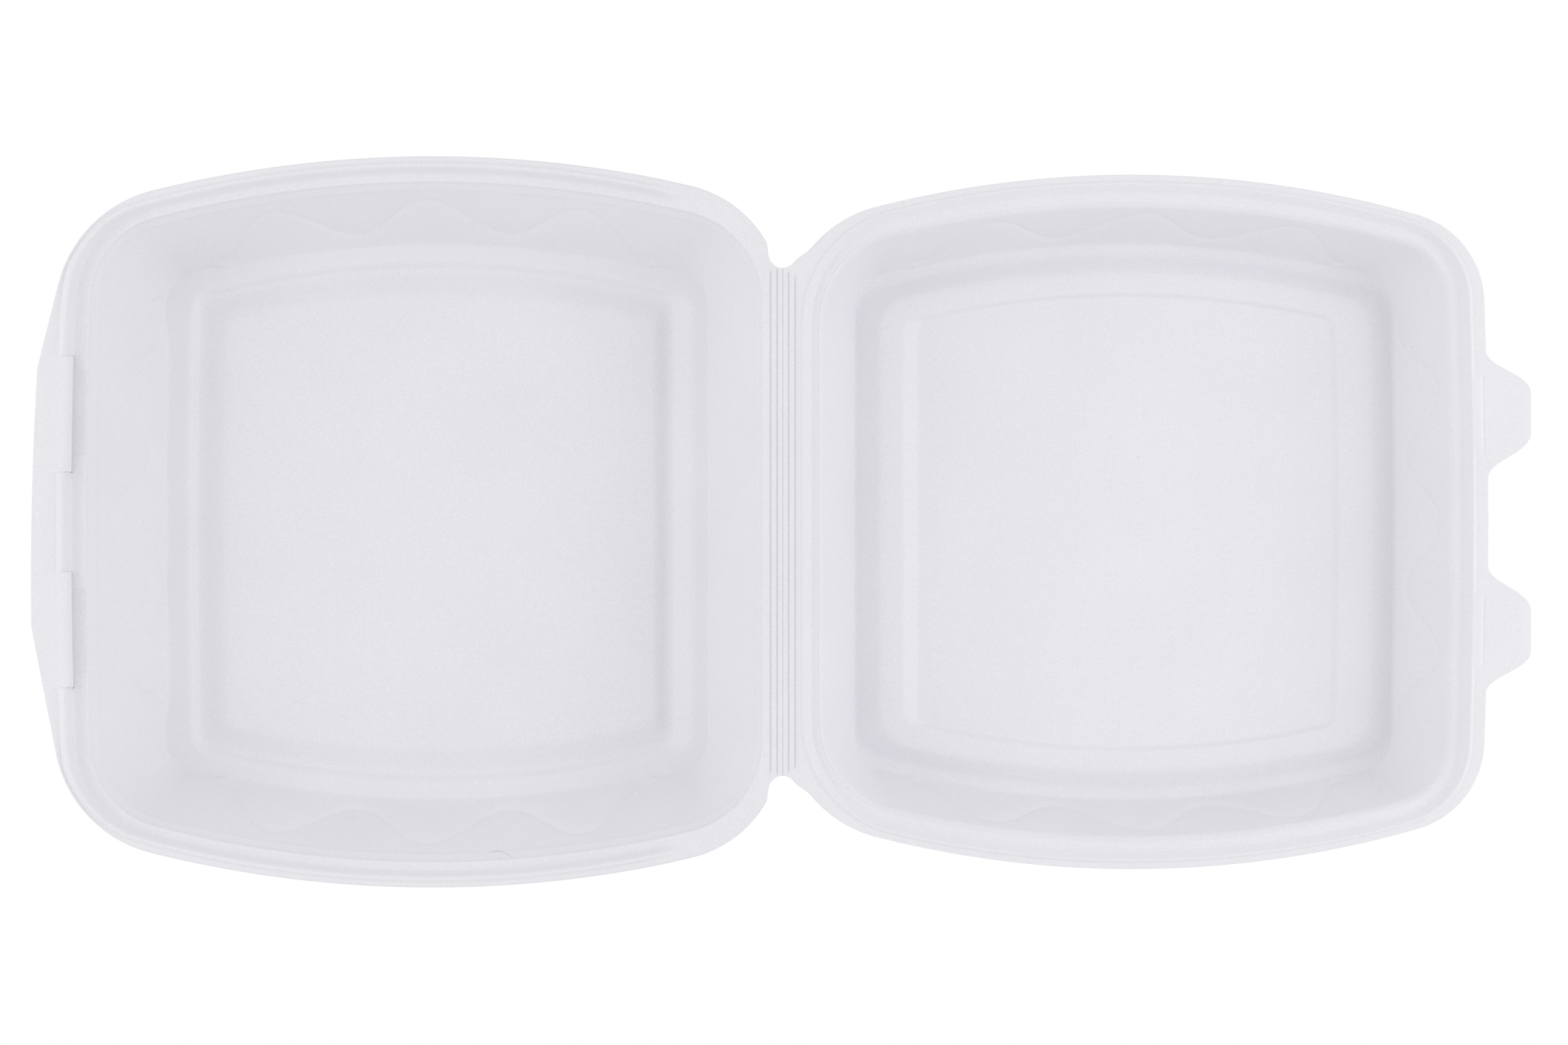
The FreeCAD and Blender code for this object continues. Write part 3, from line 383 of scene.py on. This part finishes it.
def shrunk(edge, height, shares=(0.96, 0.8, 0.6, 0.4, 0.2, 0.06)):
    """Rings that fill a flat floor towards its middle."""
    middle = np.array([(edge[:, 0].max() + edge[:, 0].min()) / 2, 0.0, height])
    return [middle + (edge - middle) * share for share in shares]


def build(name, chain, cuts=()):
    """A closed mesh from a chain of rings that runs from one pole to the other."""
    columns = len(chain[0])
    bottom, top = chain[0].mean(axis=0), chain[-1].mean(axis=0)
    points = np.vstack(chain + [bottom[None, :], top[None, :]])
    low, high = len(points) - 2, len(points) - 1
    ahead = (np.arange(columns) + 1) % columns
    faces = []
    for i in range(len(chain) - 1):
        here, there = i * columns, (i + 1) * columns
        faces += [(here + j, there + j, there + ahead[j], here + ahead[j])
                  for j in range(columns) if not any(i == cut[0] and j in cut[1] for cut in cuts)]
    last = (len(chain) - 1) * columns
    faces += [(low, j, ahead[j]) for j in range(columns)]
    faces += [(high, last + ahead[j], last + j) for j in range(columns)]
    if cuts:
        faces += hole_walls(cuts, columns, ahead)
    mesh = bpy.data.meshes.new(name)
    mesh.from_pydata((points * MM).tolist(), [], faces)
    piece = bpy.data.objects.new(name, mesh)
    bpy.context.scene.collection.objects.link(piece)
    return piece


def hole_walls(cuts, columns, ahead):
    """The cut edges of holes, from the loop of each hole above to its loop below."""
    (above, wanted), (below, _) = cuts
    faces = []
    for j in sorted(wanted):
        for upper, lower, flip in ((above, below + 1, False), (above + 1, below, True)):
            face = [upper * columns + j, lower * columns + j,
                    lower * columns + ahead[j], upper * columns + ahead[j]]
            faces.append(tuple(face[::-1] if flip else face))
    for j in sorted(wanted):
        for edge in (j, ahead[j]):
            inside = {(edge - 1) % columns in wanted, edge in wanted}
            if inside == {True, False}:
                faces.append((above * columns + edge, (above + 1) * columns + edge,
                              below * columns + edge, (below + 1) * columns + edge))
    return faces


def edge_rings(half, top, bottom, radius=0.22):
    """The cut edge of the rim sheet, softly rounded: from its underside to its top."""
    inward = -half.out * radius
    inward[:, 2] = 0
    rings = []
    for height, share in ((bottom, 1), (bottom + radius, 0), (top - radius, 0), (top, 1)):
        rings.append(np.column_stack([(half.rim + inward * share)[:, :2], height]))
    return rings


def lerp(a, b, share):
    return a + (b - a) * share


TRAY_APEX, LID_APEX = 112.4, 113.0
TRAY_TOP_ROWS = [
    {"side": (0.0, 0.0), "front": (0.0, 0.0), "fold": (99.0, 0.0)},
    {"side": (1.6, 0.0), "front": (2.0, 0.0), "fold": (5.3, 0.0)},
    {"side": (2.1, 0.1), "front": (3.9, 0.05), "fold": (4.5, 0.0)},
    {"side": (2.5, 0.6), "front": (4.7, 0.5), "fold": (3.95, -0.6)},
    {"side": (3.4, 2.8), "front": (5.6, 2.8), "fold": (3.4, 0.0)},
    {"side": (4.1, 4.5), "front": (6.3, 4.5), "fold": (2.9, 0.05)},
    {"side": (4.5, 4.95), "front": (6.8, 4.95), "fold": (2.4, 0.0)},
    {"side": (5.0, 5.0), "front": (7.3, 5.0), "fold": (1.85, -0.6)},
    {"side": (5.5, 4.9), "front": (7.8, 4.9), "fold": (1.3, 0.0)},
    {"side": (5.9, 4.4), "front": (8.3, 4.15), "fold": (0.9, 0.05)},
    {"side": (6.3, 4.3), "front": (9.0, 3.85), "fold": (0.55, 0.0)},
]
TRAY_UNDER_ROWS = [
    {"side": (5.9, 3.0), "front": (8.4, 3.0), "fold": (1.0, -1.3)},
    {"side": (3.7, -0.4), "front": (6.0, -0.4), "fold": (2.5, -1.3)},
    {"side": (3.2, -1.3), "front": (5.3, -1.2), "fold": (3.8, -1.3)},
    {"side": (0.7, -1.3), "front": (0.9, -1.3), "fold": (5.0, -1.3)},
]
# Over a slit the lip is flat and ends in a cut face that leans back over the ledge's end.
SLIT_TOP_ROWS = {2: (4.7, 0.0), 3: (4.2, 2.15), 4: (5.15, 3.8), 5: (5.7, 4.15), 6: (6.4, 4.3),
                 7: (7.0, 4.3), 8: (7.6, 4.3), 9: (8.2, 4.3)}
SLIT_UNDER_ROWS = {1: (4.35, 2.1), 2: (4.7, -1.3)}

# Each level is an outline, a height and the radius that rounds it. An outline's values are its
# front, side, distance from the fold, corner, corner beside the fold and the bow of its sides.
TRAY_SHOULDER = ((223.8, 109.3, 6.6, 27.8, 30.0, 351.0), -0.3, 0.2)
TRAY_STEP = [((223.4, 108.9, 7.0, 27.4, 29.6, 351.0), -1.9, 0.3),
             ((221.1, 106.9, 8.6, 25.4, 27.6, 351.0), -4.7, 0.3)]
TRAY_WALL_TOP = ((220.6, 106.4, 9.1, 24.9, 27.1, 351.0), -6.2, 0.3)
TRAY_WALL_FOOT = ((201.6, 91.2, 24.5, 9.5, 9.5, 312.0), -36.0, 1.2)
TRAY_FLOOR = [((192.8, 84.7, 29.2, 6.5, 6.5, 302.0), -36.0, 1.5),
              ((190.6, 82.5, 35.8, 5.5, 5.5, 302.0), -38.8, 0.8),
              ((187.6, 80.0, 38.0, 5.0, 5.0, 297.0), -38.8, 1.4),
              ((181.8, 74.2, 41.4, 3.5, 3.5, 295.0), -36.9, 1.4)]
TRAY_SKIN_TOP = ((223.0, 108.8, 6.7, 27.2, 28.8, 351.0), -7.5, 1.0)
TRAY_SKIN_FOOT = ((202.85, 92.45, 23.25, 10.5, 10.5, 312.0), -38.2, 1.2)
TRAY_SKIN_FLOOR = [((194.56, 86.46, 27.44, 8.2, 8.2, 302.0), -37.7, 0.8),
                   ((191.5, 83.4, 34.9, 6.4, 6.4, 302.0), -41.0, 0.8),
                   ((184.7, 77.2, 39.9, 5.0, 5.0, 295.0), -41.0, 0.8),
                   ((181.4, 73.9, 43.2, 4.5, 4.5, 295.0), -39.0, 0.8)]

# Beside each latch tab the bead widens to a flat pad that ends at the tab's fold line.
PAD_INNER, PAD_OUTER, PAD_END = 24.0, 46.0, 1.6
PAD_ROWS = {0: 0.5, 1: 0.5, 2: 0.5, 3: 0.5, 4: 0.3, 5: -0.1, 6: 0.0}
PAD_DIP = 0.8


def pad_share(half, spare):
    """Where along the front the pads beside the latch tabs are."""
    along = np.abs(half.rim[:, 1])
    share = (half.facing[:, 0] > 0.9) * smooth(PAD_INNER - PAD_END - spare, PAD_INNER - spare,
                                               along)
    return share * (1 - smooth(PAD_OUTER + spare, PAD_OUTER + PAD_END + spare, along))


def level(apex, values, height, radius):
    """A ring at a height, and the radius that rounds it."""
    front, half, hinge, corner, hinge_corner, bow = values
    return ring(Outline(front, half, hinge, apex, bow, corner, hinge_corner), height), radius


def levels(apex, rows):
    return [level(apex, *row) for row in rows]


def tray():
    """The tray: a ledge and a raised lip round a deep bowl with waves in its walls."""
    half = Half(TrayRim(241.2, 117.3, HALF_GAP, TRAY_APEX, 373.0, 41.0, 38.0),
                Outline(224.2, 109.7, 6.2, TRAY_APEX, 351.0, 28.2, 30.4))
    lift = smooth(30.0, 44.0, half.rim[:, 0])
    slit = (half.out[:, 0] > 0.999) & (np.abs(half.seat[:, 1]) >= SLIT_INNER - 0.01)
    slit &= np.abs(half.seat[:, 1]) <= SLIT_OUTER + 0.01
    rim = half.rim_rings(TRAY_TOP_ROWS, lift, 0.9)
    under = half.rim_rings(TRAY_UNDER_ROWS, lift, 0.9)

    def sheet(height):
        return height * lift - RIM_SHEET * (1 - lift)

    for one in under:
        one[:, 2] = np.where(half.share["fold"] > 0, -RIM_SHEET,
                             sheet(one[:, 2] / np.maximum(lift, 0.01)))
    for rings, rows in ((rim, SLIT_TOP_ROWS), (under, SLIT_UNDER_ROWS)):
        for row, (reach, height) in rows.items():
            rings[row][slit, 0] = half.seat[slit, 0] + reach
            rings[row][slit, 2] = height
    edge = edge_rings(half, 4.3 * lift, sheet(3.0))
    between = [lerp(edge[-1], rim[-1], share) for share in (0.35, 0.7)]
    shoulder = level(TRAY_APEX, *TRAY_SHOULDER)
    dip = pad_share(half, 1.5)
    for one in (shoulder[0], *rim[:3]):
        one[:, 2] -= (one[:, 2] + PAD_DIP) * dip

    wall_top, top_radius = level(TRAY_APEX, *TRAY_WALL_TOP)
    foot, foot_radius = level(TRAY_APEX, *TRAY_WALL_FOOT)
    line, strength = wave_line(half, TRAY_APEX, foot)
    keys = [(rim[0], 0.35), shoulder, *levels(TRAY_APEX, TRAY_STEP), (wall_top, top_radius)]
    *waves, foot = wall_rings(wall_top, foot, line, strength)
    keys += [(one, 0) for one in waves]
    keys += [(foot, foot_radius), *levels(TRAY_APEX, TRAY_FLOOR)]
    panel = shrunk(keys[-1][0], TRAY_FLOOR[-1][1])
    stack = [rim[1]] + [key[0] for key in keys] + panel
    radii = [0] + [key[1] for key in keys] + [0] * len(panel)
    inside = rounded(stack, radii)

    skins = [(under[3], 0.6), level(TRAY_APEX, *TRAY_SKIN_TOP)]
    skin_foot = level(TRAY_APEX, *TRAY_SKIN_FOOT)
    skins += [(lerp(skins[1][0], skin_foot[0], share), 0) for share in (0.33, 0.66)]
    skins += [skin_foot, *levels(TRAY_APEX, TRAY_SKIN_FLOOR)]
    base = shrunk(skins[-1][0], TRAY_SKIN_FLOOR[-1][1], (0.9, 0.5, 0.15))
    below = rounded([under[2]] + [key[0] for key in skins] + base,
                    [0] + [key[1] for key in skins] + [0] * len(base))
    chain = below[::-1] + [under[1], under[0]] + edge + between + rim[:1:-1] + inside
    above = len(below) + 2 + len(edge) + len(between) + len(rim) - 4
    hole = {j for j in range(half.count) if slit[j] and slit[(j + 1) % half.count]}
    return build("tray_body", chain, [(above, hole), (len(below) - 1, hole)])


def lid_bead(by, hinge_share=0.8):
    return grown(Outline(222.3, 108.4, 7.2, LID_APEX, 335.0, 26.2, 36.4), by, by * hinge_share)


LID_TOP_ROWS = [
    {"side": (0.0, 0.0), "front": (0.0, 0.0), "fold": (99.0, 0.0)},
    {"side": (0.3, 0.0), "front": (0.5, 0.0), "fold": (5.3, 0.0)},
    {"side": (0.5, 0.0), "front": (1.0, 0.0), "fold": (4.5, 0.0)},
    {"side": (0.7, 0.0), "front": (1.7, 0.0), "fold": (3.95, -0.6)},
    {"side": (0.9, 0.0), "front": (2.3, 0.0), "fold": (3.4, 0.0)},
    {"side": (1.0, 0.0), "front": (2.7, 0.0), "fold": (2.9, 0.05)},
    {"side": (1.15, 0.0), "front": (3.1, 0.0), "fold": (2.4, 0.0)},
    {"side": (1.25, 0.0), "front": (3.3, 0.0), "fold": (1.85, -0.6)},
    {"side": (1.4, 0.0), "front": (3.5, 0.0), "fold": (1.3, 0.0)},
    {"side": (1.5, 0.0), "front": (3.7, 0.0), "fold": (0.9, 0.05)},
    {"side": (1.6, 0.0), "front": (3.9, 0.0), "fold": (0.55, 0.0)},
]
# From the bead down to the wall: distance outside the bead, height and rounding radius.
LID_BEAD_ROWS = [(0.9, 0.5, 0.25), (0.25, 0.5, 0.25), (-2.4, -2.5, 0.4), (-5.2, -2.45, 0.1),
                 (-5.5, -2.75, 0.1), (-5.8, -2.55, 0.2)]
LID_WALL_TOP = ((215.2, 101.3, 12.9, 19.1, 29.3, 335.0), -4.0, 0.7)
LID_WALL_FOOT = ((200.8, 91.0, 24.3, 11.5, 11.5, 308.0), -30.5, 1.2)
LID_FLOOR = [((199.9, 86.4, 25.2, 10.6, 10.6, 308.0), -30.5, 1.2),
             ((193.0, 81.0, 32.6, 10.8, 10.8, 319.0), -27.5, 1.2),
             ((182.3, 74.5, 40.2, 5.0, 5.0, 292.0), -27.5, 0.8),
             ((180.8, 73.0, 45.2, 4.0, 4.0, 292.0), -29.5, 0.8)]
LID_SKIN_FOOT = ((203.4, 93.6, 21.7, 13.0, 13.0, 308.0), -32.7, 1.2)
LID_SKIN_FLOOR = [((198.8, 87.0, 26.3, 10.2, 10.2, 308.0), -32.7, 0.8),
                  ((192.1, 82.3, 33.3, 10.4, 10.4, 319.0), -29.7, 0.8),
                  ((184.4, 76.9, 38.2, 5.5, 5.5, 292.0), -29.7, 0.8),
                  ((182.2, 74.7, 43.2, 4.6, 4.6, 292.0), -31.7, 0.8)]


def lid():
    """The lid: a flat flange with a bead, a shallower bowl and two latch tabs."""
    half = Half(LidRim(LID_FRONT, 111.7, HALF_GAP, LID_APEX, 335.0, 29.5, 39.7), lid_bead(1.3))
    flat = np.zeros(half.count)
    rim = half.rim_rings(LID_TOP_ROWS, flat + 1, 0.35)
    pad = pad_share(half, 0.0)
    for row, height in PAD_ROWS.items():
        rim[row][:, 2] += (height - np.maximum(rim[row][:, 2], 0.0)) * pad
    edge = edge_rings(half, flat, flat - RIM_SHEET)
    between = [lerp(edge[-1], rim[-1], share) for share in (0.25, 0.5, 0.75)]

    wall_top, top_radius = level(LID_APEX, *LID_WALL_TOP)
    foot, foot_radius = level(LID_APEX, *LID_WALL_FOOT)
    line, strength = wave_line(half, LID_APEX, foot)
    keys = [(rim[0], 0.2)]
    keys += [(ring(lid_bead(by), height), radius) for by, height, radius in LID_BEAD_ROWS]
    keys += [(wall_top, top_radius)]
    relief = np.where(half.facing[:, 0] > 0.8, 0.5, 1.0)
    *waves, foot = wall_rings(wall_top, foot, line, strength, relief)
    keys += [(one, 0) for one in waves]
    keys += [(foot, foot_radius), *levels(LID_APEX, LID_FLOOR)]
    panel = shrunk(keys[-1][0], LID_FLOOR[-1][1])
    inside = rounded([rim[1]] + [key[0] for key in keys] + panel,
                     [0] + [key[1] for key in keys] + [0] * len(panel))

    skins = [(ring(lid_bead(1.0), -RIM_SHEET), 0.3), (ring(lid_bead(-1.15), -4.48), 0.8)]
    skin_foot = level(LID_APEX, *LID_SKIN_FOOT)
    skins += [(lerp(skins[1][0], skin_foot[0], share), 0) for share in (0.33, 0.66)]
    skins += [skin_foot, *levels(LID_APEX, LID_SKIN_FLOOR)]
    base = shrunk(skins[-1][0], LID_SKIN_FLOOR[-1][1], (0.9, 0.5, 0.15))
    flange = lerp(edge[0], skins[0][0], 0.5)
    below = rounded([flange] + [key[0] for key in skins] + base,
                    [0] + [key[1] for key in skins] + [0] * len(base))
    chain = below[::-1] + edge + between + rim[:1:-1] + inside
    return build("lid_body", chain)


def fold_web():
    """The thin web of foam that joins the two halves along the fold."""
    bpy.ops.mesh.primitive_cube_add(size=1.0)
    web = bpy.context.object
    web.name = "fold_web"
    for vertex in web.data.vertices:
        across, along, up = vertex.co
        vertex.co = Vector((across * WEB_WIDTH, along * 2 * (STRIP_HALF - 0.05),
                            WEB_MIDDLE + up * WEB_THICKNESS)) * MM
    bpy.ops.object.mode_set(mode="EDIT")
    bpy.ops.mesh.select_all(action="SELECT")
    bpy.ops.mesh.subdivide(number_cuts=6)
    bpy.ops.object.mode_set(mode="OBJECT")
    web.data.transform(shift(0.0, 0.0, RIM_HEIGHT))
    return web


def shift(x, y, z):
    return Matrix.Translation(Vector((x, y, z)))


def placed(piece, *moves):
    """Moves a piece's mesh to where it lies, and shades it smooth."""
    for move in moves:
        piece.data.transform(move)
    mesh = bmesh.new()
    mesh.from_mesh(piece.data)
    bmesh.ops.recalc_face_normals(mesh, faces=mesh.faces)
    mesh.to_mesh(piece.data)
    mesh.free()
    for face in piece.data.polygons:
        face.use_smooth = True
    piece.data.set_sharp_from_angle(angle=math.radians(50.0))
    return piece


def link(tree, start, finish):
    tree.links.new(start, finish)


def add(tree, kind, **inputs):
    node = tree.nodes.new(kind)
    for key, value in inputs.items():
        setattr(node, key, value)
    return node


def linear(red, green, blue):
    """A colour as a painter reads it, in the numbers that the nodes use."""
    def one(value):
        value /= 255.0
        return value / 12.92 if value <= 0.04045 else ((value + 0.055) / 1.055) ** 2.4
    return (one(red), one(green), one(blue), 1.0)


# Marks on the foam: middle, reach, centre of its arc, radius, width and depth of tone, and the
# lean along X and the level of a plane between the foam's inner face and its outer one.
MARKS = [
    ((-90.8, -106.2), 3.8, (-91.9, -113.6), 7.5, 0.15, 0.3, 0.0, 34.4),
    ((-203.5, 72.4), 2.9, (-222.0, 100.9), 34.0, 0.13, 0.14, 1.41, -278.7),
    ((204.3, 56.8), 2.0, (204.3, 56.8), 0.0, 0.22, 0.4, 0.0, 8.2),
    ((115.4, 21.1), 2.0, (115.4, 21.1), 0.0, 0.22, 0.3, 0.0, 5.6),
]


def marks(tree, place):
    """Two fine scratches and two specks on the inner face, as arcs and dots seen from above."""
    flat = add(tree, "ShaderNodeVectorMath", operation="MULTIPLY")
    flat.inputs[1].default_value = (1.0, 1.0, 0.0)
    link(tree, place, flat.inputs[0])
    total = None
    for middle, reach, centre, radius, width, tone, lean, level in MARKS:
        away = distance(tree, flat, centre)
        off = maths(tree, "ABSOLUTE", maths(tree, "SUBTRACT", away, radius * MM))
        near = fade(tree, off, width * MM, tone)
        inside = fade(tree, distance(tree, flat, middle), reach * MM, 1.0)
        one = maths(tree, "MULTIPLY", near, inside)
        one = maths(tree, "MULTIPLY", one, above(tree, place, lean, level))
        total = one if total is None else maths(tree, "MAXIMUM", total, one)
    return total


def above(tree, place, lean, level):
    """One above the mark's plane, so that the mark doesn't show on the outer face too."""
    node = add(tree, "ShaderNodeVectorMath", operation="DOT_PRODUCT")
    node.inputs[1].default_value = (lean, 0.0, 1.0)
    link(tree, place, node.inputs[0])
    return maths(tree, "GREATER_THAN", node.outputs["Value"], level * MM)


def distance(tree, flat, point):
    node = add(tree, "ShaderNodeVectorMath", operation="DISTANCE")
    node.inputs[1].default_value = (point[0] * MM, point[1] * MM, 0.0)
    link(tree, flat.outputs["Vector"], node.inputs[0])
    return node.outputs["Value"]


def maths(tree, operation, first, second=0.0):
    node = add(tree, "ShaderNodeMath", operation=operation)
    link(tree, first, node.inputs[0])
    if isinstance(second, float):
        node.inputs[1].default_value = second
    else:
        link(tree, second, node.inputs[1])
    return node.outputs["Value"]


def fade(tree, value, edge, full):
    """The full value well inside the edge, and none past it."""
    node = add(tree, "ShaderNodeMapRange")
    for key, number in (("From Min", edge * 0.6), ("From Max", edge * 1.3), ("To Min", full),
                        ("To Max", 0.0)):
        node.inputs[key].default_value = number
    link(tree, value, node.inputs["Value"])
    return node.outputs["Result"]


def foam_material():
    """Near-white moulded foam: a fine grain, a soft sheen and faint unevenness."""
    material = bpy.data.materials.new("white foam")
    material.use_nodes = True
    tree = material.node_tree
    shader = next(node for node in tree.nodes if node.type == "BSDF_PRINCIPLED")
    shader.inputs["Roughness"].default_value = 0.5
    shader.inputs["Specular IOR Level"].default_value = 0.35
    place = add(tree, "ShaderNodeTexCoord")

    cloud = add(tree, "ShaderNodeTexNoise")
    cloud.inputs["Scale"].default_value = 28.0
    cloud.inputs["Detail"].default_value = 3.0
    link(tree, place.outputs["Object"], cloud.inputs["Vector"])
    colour = add(tree, "ShaderNodeMix", data_type="RGBA")
    colour.inputs["A"].default_value = linear(233, 232, 238)
    colour.inputs["B"].default_value = linear(239, 238, 242)
    link(tree, cloud.outputs["Fac"], colour.inputs["Factor"])

    stretch = add(tree, "ShaderNodeMapping")
    stretch.inputs["Scale"].default_value = (1.0, 0.7, 1.0)
    link(tree, place.outputs["Object"], stretch.inputs["Vector"])
    grain = add(tree, "ShaderNodeTexNoise")
    grain.inputs["Scale"].default_value = 2600.0
    grain.inputs["Detail"].default_value = 1.0
    link(tree, stretch.outputs["Vector"], grain.inputs["Vector"])
    fleck = add(tree, "ShaderNodeMapRange")
    for key, value in (("From Min", 0.3), ("From Max", 0.7), ("To Min", 0.93), ("To Max", 1.0)):
        fleck.inputs[key].default_value = value
    link(tree, grain.outputs["Fac"], fleck.inputs["Value"])
    flecked = add(tree, "ShaderNodeVectorMath", operation="SCALE")
    link(tree, colour.outputs["Result"], flecked.inputs[0])
    link(tree, fleck.outputs["Result"], flecked.inputs["Scale"])
    marked = add(tree, "ShaderNodeMix", data_type="RGBA")
    marked.inputs["B"].default_value = linear(150, 138, 126)
    link(tree, flecked.outputs["Vector"], marked.inputs["A"])
    link(tree, marks(tree, place.outputs["Object"]), marked.inputs["Factor"])
    link(tree, marked.outputs["Result"], shader.inputs["Base Color"])

    bump = add(tree, "ShaderNodeBump")
    bump.inputs["Strength"].default_value = 0.5
    bump.inputs["Distance"].default_value = 0.00005
    link(tree, grain.outputs["Fac"], bump.inputs["Height"])
    link(tree, bump.outputs["Normal"], shader.inputs["Normal"])
    return material


def backdrop_material():
    """White paper: it lights the object's underside softly, and shows as plain white."""
    material = bpy.data.materials.new("white backdrop")
    material.use_nodes = True
    tree = material.node_tree
    tree.nodes.clear()
    paper = add(tree, "ShaderNodeBsdfDiffuse")
    paper.inputs["Color"].default_value = (0.8, 0.8, 0.8, 1.0)
    white = add(tree, "ShaderNodeEmission")
    white.inputs["Color"].default_value = (1.0, 1.0, 1.0, 1.0)
    rays = add(tree, "ShaderNodeLightPath")
    mix = add(tree, "ShaderNodeMixShader")
    out = add(tree, "ShaderNodeOutputMaterial")
    link(tree, rays.outputs["Is Camera Ray"], mix.inputs["Fac"])
    link(tree, paper.outputs["BSDF"], mix.inputs[1])
    link(tree, white.outputs["Emission"], mix.inputs[2])
    link(tree, mix.outputs["Shader"], out.inputs["Surface"])
    return material


def soft_light(name, x, y, z, size, power):
    light = bpy.data.lights.new(name, "AREA")
    light.shape = "SQUARE"
    light.size = size
    light.energy = power
    lamp = bpy.data.objects.new(name, light)
    lamp.location = (x, y, z)
    lamp.rotation_euler = (-Vector((x, y, z))).to_track_quat("-Z", "Y").to_euler()
    bpy.context.scene.collection.objects.link(lamp)


def set_world(strength):
    world = bpy.data.worlds.new("soft room")
    bpy.context.scene.world = world
    world.use_nodes = True
    sky = next(node for node in world.node_tree.nodes if node.type == "BACKGROUND")
    sky.inputs["Color"].default_value = (1.0, 1.0, 1.0, 1.0)
    sky.inputs["Strength"].default_value = strength


# Metres: how far the camera is, how wide a strip of the table it sees, and where it stands.
CAMERA_DISTANCE, FRAME_WIDTH = 3.0, 0.5037
CAMERA_X, CAMERA_Y = 0.0004, -0.0002


def set_camera():
    """The camera looks straight down over the fold, as in the photograph."""
    data = bpy.data.cameras.new("camera")
    data.sensor_width = 36.0
    data.lens = data.sensor_width * CAMERA_DISTANCE / FRAME_WIDTH
    data.clip_end = 20.0
    camera = bpy.data.objects.new("camera", data)
    camera.location = (CAMERA_X, CAMERA_Y, RIM_HEIGHT + CAMERA_DISTANCE)
    bpy.context.scene.collection.objects.link(camera)
    bpy.context.scene.camera = camera


lean = (shift(0.0, 0.0, FOLD_HEIGHT) @ Matrix.Rotation(LID_LEAN, 4, "Y")
        @ shift(0.0, 0.0, -FOLD_HEIGHT))
tray_piece = placed(tray(), Matrix.Rotation(math.pi, 4, "Z"), shift(0.0, 0.0, RIM_HEIGHT))
lid_piece = placed(lid(), shift(0.0, 0.0, RIM_HEIGHT), lean)
web_piece = placed(fold_web())

foam = foam_material()
for piece in (tray_piece, lid_piece, web_piece):
    piece.data.materials.clear()
    piece.data.materials.append(foam)

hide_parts("tray")
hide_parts("lid")
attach(tray_piece, "tray")
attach(lid_piece, "lid")
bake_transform(web_piece)

bpy.ops.mesh.primitive_plane_add(size=8.0, location=(0.0, 0.0, -0.0005))
floor = bpy.context.object
floor.name = "backdrop"
floor.data.materials.append(backdrop_material())

set_world(0.85)
soft_light("left light", -0.95, 0.0, 0.5, 0.6, 1.7)
soft_light("right light", 0.95, 0.0, 0.54, 0.6, 2.1)
set_camera()
bpy.context.scene.view_settings.view_transform = "Standard"
